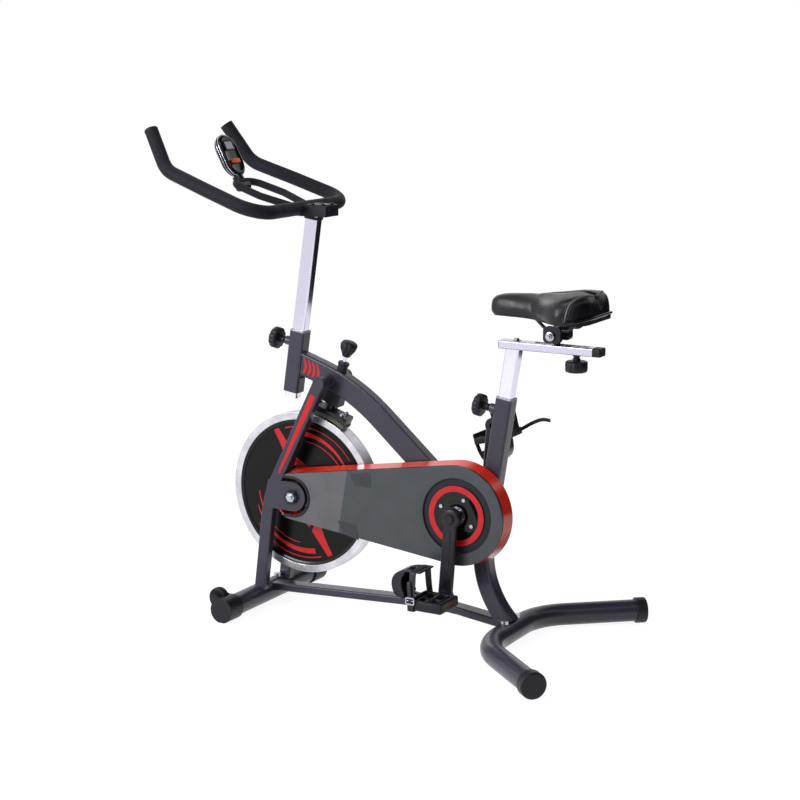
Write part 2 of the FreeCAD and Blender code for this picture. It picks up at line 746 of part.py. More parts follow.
def pin_barrel(name, put, height):
    """The threaded barrel welded to the front of a sleeve tube."""
    front = D.sleeve_l / -2 - D.pin_barrel_len
    return lifted(ring(name, front, D.sleeve_l / -2, 0, D.pin_barrel_r, "X"), put, height)


def make_sleeves():
    """Head tube, seat tube with its curved rear leg, and their bushes."""
    head_pin = D.head_len - D.pin_down
    tube = head_place(upright("head_sleeve", D.sleeve_l, D.sleeve_w, D.sleeve_wall,
                              D.sleeve_edge, 0, D.head_len))
    barrel = pin_barrel("head_barrel", head_place, head_pin)
    node("head_tube", cut("head_tube", fuse("head_tube", tube, barrel),
                          pin_hole("head_hole", head_place, head_pin)))
    leg = swept("seat_sleeve", seat_route(),
                tube_section(D.sleeve_w, D.sleeve_l, D.sleeve_wall, D.sleeve_edge))
    barrel = pin_barrel("seat_barrel", seat_place, -D.pin_down)
    leg = cut("seat_tube", fuse("seat_tube", leg, barrel),
              pin_hole("seat_hole", seat_place, -D.pin_down), TOOLS["rail"], TOOLS["rear_foot"])
    node("seat_tube", leg)
    bushes = [post_bush("head_bush", head_place, D.head_len, head_pin),
              post_bush("seat_bush", seat_place, size(0), -D.pin_down)]
    node("post_bushes", fuse("post_bushes", *bushes))


def post_bush(name, put, top, pin_height):
    """The plastic bush that fills the mouth of a sleeve tube round its post."""
    inner_l, inner_w = D.post_l + D.gap * 2, D.post_w + D.gap * 2
    body = new_body(name)
    for low, high, length, width, edge in (
            (top - D.bush_len, top, D.sleeve_l - D.sleeve_wall * 2,
             D.sleeve_w - D.sleeve_wall * 2, D.sleeve_edge - D.sleeve_wall),
            (top, top + D.bush_lip, D.sleeve_l, D.sleeve_w, D.sleeve_edge)):
        sketch = sketch_on(body, "XY", low)
        rectangle(sketch, length, width, edge)
        rectangle(sketch, inner_l, inner_w, D.post_edge)
        pad(body, sketch, high - low)
    return cut(name, put(body), pin_hole(name + "_hole", put, pin_height))


def make_tools():
    """Outer shapes of the tubes, which other tubes are coped against."""
    head = head_place(upright("head_outer", D.sleeve_l, D.sleeve_w, None, D.sleeve_edge,
                              0, D.head_len, plug=True))
    seat = swept("seat_outer", seat_route(),
                 solid_section(D.sleeve_w, D.sleeve_l, D.sleeve_edge))
    rail = swept("rail_outer", rail_route(), solid_section(D.rail_w, D.rail_h, D.rail_edge))
    rear = swept("rear_outer", rear_route(0), lambda sketch: circle(sketch, 0, 0, D.foot_r),
                 plane="XY")
    place(rear, 0, 0, D.foot_z)
    front = cross_rod("front_outer", D.foot_r, D.front_foot_y, D.front_foot_x, D.foot_z)
    shell = cross_rod("shell_outer", D.shell_r, D.shell_half, D.crank_x, D.crank_z)
    guide = brake_place(rod("guide_outer", D.guide_r, D.guide_top))
    main = swept("main_outer", main_route(), solid_section(D.main_w, D.main_d, D.main_edge))
    return {"head": head, "seat": seat, "rail": rail, "rear_foot": rear, "front_foot": front,
            "shell": shell, "guide": guide, "main": main}


def seat_route():
    return [(D.seat_x, D.seat_z, None), (D.leg_turn_x, D.leg_turn_z, D.leg_bend_r),
            (D.leg_foot_x, D.leg_foot_z, None)]


def rail_route():
    return [(D.rail_front_x, D.rail_front_z, None), (D.rail_turn_x, D.rail_turn_z, D.rail_bow_r),
            (D.rail_back_x, D.rail_back_z, None)]


def main_route():
    return [(D.main_top_x, D.main_top_z, None), (D.main_turn_x, D.main_turn_z, D.main_bend_r),
            (D.main_end_x, D.main_end_z, None)]


def rear_route(short):
    """The rear stabilizer seen from above, its tips drawn back by a length."""
    run = D.rear_tip_x - D.rear_foot_x
    corner = D.rear_tip_y - run * trig("tan", D.rear_sweep)
    tip_x = D.rear_tip_x - trig("cos", D.rear_sweep) * short
    tip_y = D.rear_tip_y - trig("sin", D.rear_sweep) * short
    return [(tip_x, -tip_y, None), (D.rear_foot_x, -corner, D.rear_bend_r),
            (D.rear_foot_x, corner, D.rear_bend_r), (tip_x, tip_y, None)]


def make_beams():
    """Main tube, bottom rail, bottom bracket shell and the stubs that hold the fork legs."""
    main = swept("main_sweep", main_route(),
                 tube_section(D.main_w, D.main_d, D.main_wall, D.main_edge))
    node("main_tube", cut("main_tube", main, TOOLS["head"], TOOLS["seat"], TOOLS["shell"],
                          TOOLS["guide"]))
    rail = swept("rail_sweep", rail_route(),
                 tube_section(D.rail_w, D.rail_h, D.rail_wall, D.rail_edge))
    node("bottom_rail", cut("bottom_rail", rail, TOOLS["front_foot"], TOOLS["rear_foot"]))
    shell = ring("shell", -D.shell_half, D.shell_half, D.shell_bore_r, D.shell_r)
    node("bottom_bracket_shell", crank_place(shell))
    seats = [ring(f"crank_bearing_{i}", start, start + D.bearing_w, D.spindle_r + D.shaft_gap,
                  D.shell_bore_r) for i, start in enumerate((-D.shell_half,
                                                             D.shell_half - D.bearing_w))]
    node("crank_bearings", fuse("crank_bearings", *[crank_place(seat) for seat in seats]))
    half, leg_in = D.main_w / 2, D.fork_out - D.fork_t
    stubs = [rod(f"fork_stub_{i}", D.cross_r, leg_in - half, D.fork_top_x, start, D.fork_top_z,
                 turn=90, about="X") for i, start in enumerate((leg_in, -half))]
    node("fork_stubs", fuse("fork_stubs", *stubs))


def fork_route():
    return [(D.fork_foot_x, D.fork_foot_z, None), (D.fork_turn_x, D.fork_turn_z, D.fork_bend_r),
            (D.fork_top_x, D.fork_top_z, None)]


def make_fork():
    """The two legs that carry the flywheel axle."""
    middle = D.fork_out - D.fork_t / 2
    for name, side in (("fork_leg_left", 1), ("fork_leg_right", -1)):
        leg = swept(name + "_sweep", fork_route(), solid_section(D.fork_t, D.fork_w, D.fork_edge))
        place(leg, 0, middle * -side, 0)
        top = slab(name + "_top", side, D.fork_out - D.fork_t, D.fork_t,
                   lambda s: circle(s, D.fork_top_x, D.fork_top_z, D.fork_w / 2))
        plate = slab(name + "_plate", side, D.fork_out - D.plate_t, D.plate_t,
                     lambda s: capsule(s, D.fork_turn_x, D.wheel_z, D.plate_r - 1,
                                       D.wheel_x, D.wheel_z, D.plate_r))
        axle = cross_rod(name + "_bore", D.axle_r, D.axle_end, D.wheel_x, D.wheel_z)
        front = slab(name + "_front", side, D.fork_out - D.fork_t, D.fork_t,
                     lambda s: trace(s, fork_front()))
        node(name, cut(name, fuse(name, leg, top, cut(name, plate, front)), axle,
                       TOOLS["front_foot"]))


def fork_front():
    """The room ahead of the fork legs, which trims the front of the dropout plates."""
    edge = D.fork_w / 4
    return [(D.fork_turn_x - D.plate_r * 2, D.wheel_z - D.plate_r * 2, None),
            (D.fork_turn_x - edge * 2, D.wheel_z - D.plate_r * 2, None),
            (D.fork_turn_x - edge, D.wheel_z, None),
            (D.fork_turn_x + edge, D.wheel_z + D.plate_r * 2, None),
            (D.fork_turn_x - D.plate_r * 2, D.wheel_z + D.plate_r * 2, None)]


def floor_box():
    """The room below the floor, which trims the resting flats of the end caps."""
    return box("below_floor", 2000, 2000, 100, -1000, 0, -100)


def make_feet():
    """Both stabilizers with their end caps, and the bolts that hold them."""
    outer = D.cap_inner_y
    front = ring("front_tube", -outer, outer, D.foot_r - D.foot_wall, D.foot_r)
    place(front, D.front_foot_x, 0, D.foot_z)
    node("front_stabilizer", front)
    rear = swept("rear_tube", rear_route(D.cap_end), round_section(D.foot_r, D.foot_wall),
                 plane="XY")
    node("rear_stabilizer", place(rear, 0, 0, D.foot_z))
    below = floor_box()
    caps = [cut(f"front_cap_{side}", front_cap(side), below) for side in (1, -1)]
    node("front_end_caps", fuse("front_end_caps", *caps))
    caps = [cut(f"rear_cap_{side}", rear_cap(side), below) for side in (1, -1)]
    node("rear_end_caps", fuse("rear_end_caps", *caps))


def front_cap(side):
    """A front cap: a closed end, a slot for the transport wheel and an arm that holds it."""
    name = f"front_cap_{side}"
    body = new_body(name)
    slot_in = D.transport_y - D.transport_w / 2 - 2
    slot_w = D.transport_w + 4
    end = D.front_foot_y - D.cap_inner_y

    def arm(sketch):
        capsule(sketch, D.front_foot_x, D.foot_z, D.foot_r - 1, D.transport_x,
                D.transport_z, D.transport_arm_r)
    layer(body, side, D.cap_inner_y, end, lambda s: circle(s, D.front_foot_x, D.foot_z, D.cap_r))
    layer(body, side, D.cap_inner_y, end - D.cap_end, arm)
    layer(body, side, slot_in, slot_w,
          lambda s: circle(s, D.transport_x, D.transport_z, D.transport_r + 2), cut=True)
    layer(body, side, slot_in, slot_w,
          lambda s: circle(s, D.transport_x, D.transport_z, D.transport_pin_r))
    return body


def rear_cap(side):
    """A rear cap: a round cup over the end of an outrigger."""
    name = f"rear_cap_{side}"
    body = turned(name, [(-D.cap_len, D.cap_r, 2), (0, D.cap_r, 4), (0, 0, None),
                         (-D.cap_end, 0, None), (-D.cap_end, D.foot_r, None),
                         (-D.cap_len, D.foot_r, None)], "X")
    return place(body, D.rear_tip_x, D.rear_tip_y * -side, D.foot_z,
                 D.rear_sweep * -side, "Z")


def make_bolts():
    """Stabilizer bolts, the nuts of the flywheel axle and the cover screws."""
    parts = cover_screws()
    for foot, x in (("front", D.front_foot_x), ("rear", D.rear_foot_x)):
        for side in (-1, 1):
            top = D.foot_z + D.foot_r + D.foot_bolt_t
            bolt = rod(f"{foot}_bolt_{side}", D.foot_bolt_r, top - D.foot_z, x,
                       D.foot_bolt_y * side, D.foot_z)
            parts.append(cut(f"{foot}_bolt_{side}", bolt, TOOLS[f"{foot}_foot"]))
    for side in (1, -1):
        nut = new_body(f"axle_nut_{side}")
        layer(nut, side, D.fork_out, D.nut_t, lambda s: hexagon(s, D.nut_flats_r))
        wheel_place(nut)
        bore = cross_rod(f"axle_nut_bore_{side}", D.axle_r, D.axle_end, D.wheel_x, D.wheel_z)
        parts.append(cut(f"axle_nut_{side}", nut, bore))
    node("frame_fasteners", fuse("frame_fasteners", *parts))


def hexagon(sketch, radius):
    corners = []
    for i in range(6):
        angle = math.radians(60 * i)
        corners.append((radius * round(math.cos(angle), 6), radius * round(math.sin(angle), 6), None))
    trace(sketch, corners)


# ---------------------------------------------------------------- flywheel and drive

def make_flywheel():
    """The cast wheel, its two bearings, the pulley on its hub and the fixed axle."""
    rim_in, half, hub = D.wheel_r - D.rim_depth, D.wheel_w / 2, D.wheel_hub_w / 2
    web = D.web_w / 2
    wheel = turned("flywheel", [
        (-hub, D.wheel_bearing_r, None), (-hub, D.wheel_hub_r, 2), (-web, D.wheel_hub_r, 2),
        (-web, rim_in, 2), (-half, rim_in, 1.5), (-half, D.wheel_r, 1.5), (half, D.wheel_r, 1.5),
        (half, rim_in, 1.5), (web, rim_in, 2), (web, D.wheel_hub_r, 2), (hub, D.wheel_hub_r, 2),
        (hub, D.wheel_bearing_r, None)])
    node("flywheel", wheel_place(wheel))
    bearings = [ring(f"wheel_bearing_{i}", start, start + D.bearing_w, D.axle_r + D.shaft_gap,
                     D.wheel_bearing_r) for i, start in enumerate((-hub, hub - D.bearing_w))]
    node("flywheel_bearings", fuse("flywheel_bearings", *[wheel_place(b) for b in bearings]))
    axle_clear = D.shoulder_r + 1
    start = -(D.pulley_in + D.pulley_w)
    small = turned("flywheel_pulley", pulley_profile(start, D.small_pulley_r, axle_clear)
                   + [(-D.pulley_in, D.wheel_hub_r - 8, None), (-hub, D.wheel_hub_r - 8, None),
                      (-hub, axle_clear, None)])
    node("flywheel_pulley", wheel_place(small))
    inner = hub + D.gap
    outer = D.fork_out - D.plate_t
    axle = turned("flywheel_axle", [
        (-D.axle_end, D.axle_r, 1), (-outer, D.axle_r, None), (-outer, D.shoulder_r, None),
        (-inner, D.shoulder_r, None), (-inner, D.axle_r, None), (inner, D.axle_r, None),
        (inner, D.shoulder_r, None), (outer, D.shoulder_r, None), (outer, D.axle_r, None),
        (D.axle_end, D.axle_r, 1), (D.axle_end, 0, None), (-D.axle_end, 0, None)])
    node("flywheel_axle", wheel_place(axle))


def pulley_profile(start, radius, bore):
    """A flanged pulley from its outer face at start to its inner face, all but the bore side."""
    end = start + D.pulley_w
    lip, rise = D.pulley_lip_w, radius + D.pulley_lip
    return [(start, bore, None), (start, rise, None), (start + lip, rise, None),
            (start + lip, radius, None), (end - lip, radius, None), (end - lip, rise, None),
            (end, rise, None)]


def make_belt():
    """The belt round both pulleys."""
    middle = D.pulley_in + D.pulley_w / 2

    def outline(sketch):
        for extra in (D.gap, D.gap + D.belt_t):
            capsule(sketch, D.wheel_x, D.wheel_z, D.small_pulley_r + extra,
                    D.crank_x, D.crank_z, D.big_pulley_r + extra)
    node("drive_belt", slab("drive_belt", 1, middle - D.belt_w / 2, D.belt_w, outline))


def make_cover():
    """Belt cover: an open tray behind, a flat face with a recess, and a plate in the recess."""
    seam = D.cover_out - D.cover_face_t
    leg = swept("leg_room", fork_route(), lambda s: rectangle(
        s, D.fork_out * 2, D.fork_w + D.gap * 4, D.fork_edge))
    place(leg, 0, -D.fork_out, 0)
    plate = slab("plate_room", 1, D.fork_out - D.plate_t - D.gap, D.plate_t, lambda s: capsule(
        s, D.fork_turn_x, D.wheel_z, D.plate_r, D.wheel_x, D.wheel_z, D.plate_r + D.gap))
    node("belt_cover_back", cut("belt_cover_back", cover_tray(seam), leg, plate))
    node("belt_cover_face", cut("belt_cover_face", cover_face(seam), leg))
    plate = slab("cover_plate", 1, D.cover_out - D.dish_depth, D.dish_depth, lambda s: (
        circle(s, D.crank_x, D.crank_z, D.hub_plate_r),
        circle(s, D.crank_x, D.crank_z, D.crank_hole_r)))
    node("cover_hub_plate", plate)


def cover_screws():
    """Four screw heads on the plate of the belt cover."""
    screws = []
    for i in range(4):
        angle = D.screw_turn + i * 90
        x = D.crank_x + D.screw_ring_r * trig("cos", angle)
        z = D.crank_z + D.screw_ring_r * trig("sin", angle)
        screws.append(rod(f"cover_screw_{i}", D.cover_screw_r, D.cover_screw_t, x,
                          -D.cover_out, z, turn=90, about="X"))
    return screws


def cover_outline(grow):
    def draw(sketch):
        capsule(sketch, D.wheel_x, D.wheel_z, D.cover_nose_r + grow, D.crank_x, D.crank_z,
                D.cover_r + grow)
    return draw


def cover_tray(seam):
    """The red tray: its wall flares from the face to the back plate."""
    body = new_body("cover_tray")
    loft(body, "AdditiveLoft", seam, 0, D.cover_in, D.cover_flare)
    inside = D.cover_in + D.cover_wall
    loft(body, "SubtractiveLoft", seam, -D.cover_wall, inside, D.cover_flare - D.cover_wall)
    for x, z, radius in ((D.crank_x, D.crank_z, D.shell_r + 1),
                         (D.wheel_x, D.wheel_z, D.wheel_hub_r)):
        layer(body, 1, D.cover_in, D.cover_wall, lambda s: circle(s, x, z, radius), cut=True)
    return body


def loft(body, kind, near, grow_near, far, grow_far):
    profiles = []
    for distance, grow in ((near, grow_near), (far, grow_far)):
        sketch = sketch_on(body, "XZ", distance)
        cover_outline(grow)(sketch)
        profiles.append(sketch)
    DOC.recompute()
    feature = body.newObject("PartDesign::" + kind, body.Name + "_loft")
    feature.Profile = profiles[0]
    feature.Sections = [profiles[1]]
    feature.Ruled = True


def cover_face(seam):
    """The grey face with its round recess, crank opening and dropout window."""
    body = new_body("cover_face")
    layer(body, 1, seam, D.cover_face_t, cover_outline(0))
    layer(body, 1, D.cover_out - D.dish_depth, D.dish_depth,
          lambda s: circle(s, D.crank_x, D.crank_z, D.dish_r), cut=True)
    layer(body, 1, seam, D.cover_face_t,
          lambda s: circle(s, D.crank_x, D.crank_z, D.crank_hole_r), cut=True)
    layer(body, 1, seam, D.cover_face_t,
          lambda s: capsule(s, D.wheel_x - D.window_r * 2, D.wheel_z, D.window_r - 1,
                            D.wheel_x, D.wheel_z, D.window_r), cut=True)
    return body


def make_crank():
    """Crank axle, pulley, both arms, their bolts and the pedal spindles."""
    outer = D.crank_in + D.crank_t
    axle = ring("crank_axle", -outer, outer, 0, D.spindle_r)
    node("crank_axle", crank_place(axle))
    start = -(D.pulley_in + D.pulley_w)
    profile = pulley_profile(start, D.big_pulley_r, D.spindle_r)
    profile += [(-D.pulley_in, D.spindle_r, None)]
    node("crank_pulley", crank_place(turned("crank_pulley", profile)))
    bolts = []
    for name, side in (("left", 1), ("right", -1)):
        arm = new_body(f"crank_arm_{name}")
        eye_x = -trig("sin", D.crank_lean) * D.crank_len * side
        eye_z = -trig("cos", D.crank_lean) * D.crank_len * side
        layer(arm, side, D.crank_in, D.crank_t, lambda s: capsule(
            s, 0, 0, D.crank_boss_r, eye_x, eye_z, D.crank_eye_r))
        layer(arm, side, D.crank_in, D.crank_t, lambda s: circle(s, 0, 0, D.spindle_r), cut=True)
        layer(arm, side, D.crank_in, D.crank_t,
              lambda s: circle(s, eye_x, eye_z, D.spindle_pedal_r), cut=True)
        node(f"crank_arm_{name}", crank_place(arm))
        bolt = slab(f"crank_bolt_{name}", side, outer, D.crank_bolt_t,
                    lambda s: circle(s, D.crank_x, D.crank_z, D.crank_bolt_r))
        bolts.append(bolt)
    node("crank_bolts", fuse("crank_bolts", *bolts))
    spindles = [pedal_spindle(name, side) for name, side in (("left", 1), ("right", -1))]
    node("pedal_spindles", fuse("pedal_spindles", *spindles))


def eye_at(side):
    """Centre of a pedal eye in the frame of the bike."""
    x = D.crank_x - trig("sin", D.crank_lean) * D.crank_len * side
    z = D.crank_z - trig("cos", D.crank_lean) * D.crank_len * side
    return x, z


def pedal_spindle(name, side):
    x, z = eye_at(side)
    outer = D.crank_in + D.crank_t
    end = D.spindle_end - 8
    rod_part = turned(f"pedal_spindle_{name}", [
        (-end, D.spindle_pedal_r, 1), (-outer - D.spindle_flange_t, D.spindle_pedal_r, None),
        (-outer - D.spindle_flange_t, D.spindle_flange_r, None),
        (-outer, D.spindle_flange_r, None), (-outer, D.spindle_pedal_r, None),
        (-D.crank_in, D.spindle_pedal_r, None), (-D.crank_in, 0, None), (-end, 0, None)])
    turn = 0 if side > 0 else 180
    return place(rod_part, x, 0, z, turn, "Z")


def make_pedals():
    """Pedal bodies with toe cages and straps; the left one is level, the right one hangs."""
    for name, side, turn in (("left", 1, size(0)), ("right", -1, -D.pedal_hang)):
        x, z = eye_at(side)
        for kind, build in (("pedal", pedal_body), ("toe_cage", toe_cage),
                            ("toe_strap", toe_strap)):
            piece = build(f"{kind}_{name}", side)
            node(f"{kind}_{name}", place(piece, x, 0, z, turn))


def pedal_body(name, side):
    """A platform with two windows and a bore for the spindle, centred on the spindle."""
    body = new_body(name)
    middle = (D.pedal_in + D.pedal_w / 2) * -side
    sketch = sketch_on(body, "XY", D.pedal_t / -2)
    rectangle(sketch, D.pedal_len, D.pedal_w, D.pedal_edge, 0, middle)
    for way in (-1, 1):
        window_x = (D.pedal_len / 4 + 2) * way
        rectangle(sketch, D.pedal_slot_l, D.pedal_slot_w, 4, window_x, middle)
    pad(body, sketch, D.pedal_t)
    layer(body, side, D.pedal_in - 1, D.pedal_w - 6,
          lambda s: circle(s, 0, 0, D.spindle_pedal_r + D.shaft_gap), cut=True)
    return body


def toe_cage(name, side):
    """An open cage of sheet plastic that reaches ahead of the pedal and over the toe."""
    front, low, top = D.pedal_len / -2, D.pedal_t / -2 + 6, D.cage_rise
    tip = front - D.cage_len
    body = new_body(name)

    def outline(sketch):
        trace(sketch, [
            (front, low, None), (tip, low, D.cage_bend_r), (tip, top - D.cage_drop, D.cage_bend_r),
            (front + D.cage_lap, top, None), (front + D.cage_lap, top - D.cage_t, None),
            (tip + D.cage_t, top - D.cage_drop - D.cage_t, D.cage_bend_r - D.cage_t),
            (tip + D.cage_t, low + D.cage_t, D.cage_bend_r - D.cage_t),
            (front, low + D.cage_t, None)])
    near = D.pedal_in + (D.pedal_w - D.cage_w) / 2
    layer(body, side, near, D.cage_w, outline)
    slot = sketch_on(body, "XY", top)
    middle = (D.pedal_in + D.pedal_w / 2) * -side
    rectangle(slot, D.cage_slot_l, D.cage_slot_w, 8, tip + D.cage_slot_l / 2 + 11, middle)
    pocket(body, slot, top - 4)
    return body


def toe_strap(name, side):
    """The strap loop that runs round the pedal and over the cage."""
    body = new_body(name)
    edge, low = D.pedal_w / 2, D.pedal_t / -2
    middle = (D.pedal_in + D.pedal_w / 2) * -side
    top, over = D.cage_rise + D.gap, D.cage_w / 2 + 2
    sketch = sketch_on(body, "YZ", D.pedal_len / -2 + 2)
    for grow in (D.gap, D.gap + D.strap_t):
        trace(sketch, [
            (middle - edge - grow, low - grow, grow), (middle + edge + grow, low - grow, grow),
            (middle + edge + grow, 18, 10), (middle + over + grow, top + grow, 4),
            (middle - over - grow, top + grow, 4), (middle - edge - grow, 18, 10)])
    pad(body, sketch, D.strap_w)
    return body


# ---------------------------------------------------------------- brake

def make_brake():
    """Guide, threaded bush, rod with its knob, shoe and felt pad on one leaning axis."""
    sleeve = ring("guide_sleeve", D.guide_low, D.guide_top, D.guide_bore_r, D.guide_r, "Z")
    block = box("guide_block", D.guide_block_l, D.guide_block_w,
                D.guide_block_top - D.guide_low, D.guide_block_l / -2, 0, D.guide_low)
    lift = D.wheel_r + D.guide_low
    place(block, D.wheel_x + lift * trig("sin", D.brake_lean)
          - trig("cos", D.brake_lean) * D.guide_block_l / 2, D.guide_block_w / -2,
          D.wheel_z + lift * trig("cos", D.brake_lean)
          + trig("sin", D.brake_lean) * D.guide_block_l / 2, D.brake_lean)
    bore = brake_place(ring("guide_bore", D.guide_low - 1, D.guide_top + 1, 0, D.guide_r, "Z"))
    trimmed = cut("guide_block", block, TOOLS["main"], bore)
    node("brake_guide", fuse("brake_guide", trimmed, brake_place(sleeve)))
    nut = ring("brake_nut", D.brake_nut_low, D.brake_nut_top, D.rod_r + D.shaft_gap,
               D.guide_bore_r - D.shaft_gap, "Z")
    node("brake_nut", brake_place(nut))
    node("brake_rod", brake_place(ring("brake_rod", D.rod_low, D.rod_top, 0, D.rod_r, "Z")))
    knob = turned("brake_knob", [
        (D.knob_low, D.rod_r, None), (D.knob_low, D.knob_low_r, 2),
        (D.knob_top - 12, D.knob_top_r, 6), (D.knob_top, D.knob_top_r - 3, 6),
        (D.knob_top, 0, None), (D.rod_top, 0, None), (D.rod_top, D.rod_r, None)], "Z")
    node("brake_knob", brake_place(knob))
    shoe = new_body("brake_shoe")
    sketch = sketch_on(shoe, "XY", D.pad_top)
    rectangle(sketch, D.pad_len + 4, D.pad_w + 2, 3)
    pad(shoe, sketch, D.shoe_t)
    boss = sketch_on(shoe, "XY", D.pad_top)
    circle(boss, 0, 0, D.shoe_boss_r)
    pad(shoe, boss, D.shoe_t + D.shoe_boss_h)
    hole = sketch_on(shoe, "XY", D.rod_low - 1)
    circle(hole, 0, 0, D.rod_r + D.shaft_gap)
    pocket(shoe, hole, D.guide_top, back=True)
    node("brake_shoe", brake_place(shoe))
    felt = new_body("felt_pad")
    sketch = sketch_on(felt, "XY", size(-15))
    rectangle(sketch, D.pad_len, D.pad_w, 3)
    pad(felt, sketch, D.pad_top + 15)
    wheel = cross_rod("rim_room", D.wheel_r + D.pad_gap, D.wheel_w, D.wheel_x, D.wheel_z)
    node("felt_pad", cut("felt_pad", brake_place(felt), wheel))


# ---------------------------------------------------------------- handlebar and console

def make_handlebar():
    """The post, the clamp on its top, the horned bar, the inner bar and the console."""
    clamp_x = D.head_x + (D.stem_z - D.head_z) * trig("tan", D.head_tilt)
    block = box("stem_block", D.stem_front + D.stem_back, D.stem_w, D.stem_t,
                clamp_x - D.stem_front, 0, D.stem_z)
    post = head_place(upright("post_tube", D.post_l, D.post_w, D.post_wall, D.post_edge,
                              -D.head_post_tail, D.head_post_top))
    node("handlebar_post", cut("handlebar_post", post, block))
    right = [(D.bar_back_x, D.bar_back_y, D.bar_back_z, D.bar_corner_r),
             (D.bar_mid_x, D.bar_mid_y, D.bar_mid_z, D.bar_mid_r),
             (D.bar_bend_x, D.bar_bend_y, D.bar_bend_z, D.bar_horn_r),
             (D.bar_tip_x, D.bar_tip_y, D.bar_tip_z, None)]
    bar = feature_of("handlebar_sweep", bent_tube(mirrored(right), D.bar_r))
    node("handlebar", bar)
    node("stem_clamp", cut("stem_clamp", block, bar))
    right = [(D.inner_front_x, D.inner_y, D.inner_front_z, D.inner_bend_r),
             (D.inner_mid_x, D.inner_mid_y, D.inner_mid_z, D.inner_bend_r),
             (D.bar_back_x, D.inner_back_y, D.bar_back_z, None)]
    loop = feature_of("inner_sweep", bent_tube(mirrored(right), D.inner_r))
    loop = node("inner_bar", cut("inner_bar", loop, bar, block))
    make_console(loop)


def mirrored(points):
    """The route on the far side, joined to its mirror image on the near side."""
    near = [(x, -y, z, bend) for x, y, z, bend in points]
    return near[::-1] + points


def console_place(thing):
    return place(thing, D.console_x, 0, D.console_z, -D.console_tilt)


def make_console(loop):
    """The console with its bracket on the inner bar, and its button."""
    body = new_body("console")
    sketch = sketch_on(body, "YZ", D.console_t / -2)
    rise = (D.console_h - D.console_w) / 2
    capsule(sketch, 0, -rise, D.console_w / 2, 0, rise, D.console_w / 2)
    pad(body, sketch, D.console_t)
    bracket = sketch_on(body, "YZ", D.bracket_t / -2)
    rectangle(bracket, D.bracket_w, D.bracket_h, 4, 0, -D.bracket_down)
    pad(body, bracket, D.bracket_t)
    face = D.console_t / 2
    well = sketch_on(body, "YZ", face)
    rectangle(well, D.button_w + D.gap * 2, D.button_h + D.gap * 2, D.button_h / 2,
              0, -D.button_drop)
    pocket(body, well, D.button_t + D.gap)
    node("console", cut("console", console_place(body), loop))
    button = new_body("console_button")
    sketch = sketch_on(button, "YZ", face + D.button_proud - D.button_t)
    rectangle(sketch, D.button_w, D.button_h, D.button_h / 2 - 0.2, 0, -D.button_drop)
    pad(button, sketch, D.button_t)
    node("console_button", console_place(button))


def make_pins():
    """The spring pins that lock the two posts."""
    tip = D.post_l / -2 - D.pin_short
    stop = D.sleeve_l / -2 - D.pin_barrel_len - D.gap
    near = D.sleeve_l / -2 - D.knob_reach
    far = near - D.knob_t
    for name, put, height in (("head_knob", head_place, D.head_len - D.pin_down),
                              ("seat_knob", seat_place, -D.pin_down)):
        pin = turned(name, [
            (tip, 0, None), (tip, D.pin_r, 1), (stop, D.pin_r, None), (stop, D.knob_neck_r, 1),
            (near, D.knob_neck_r, None), (near, D.knob_r, 4), (far, D.knob_r, 5),
            (far, 0, None)], "X")
        node(name, lifted(pin, put, height))


# ---------------------------------------------------------------- seat

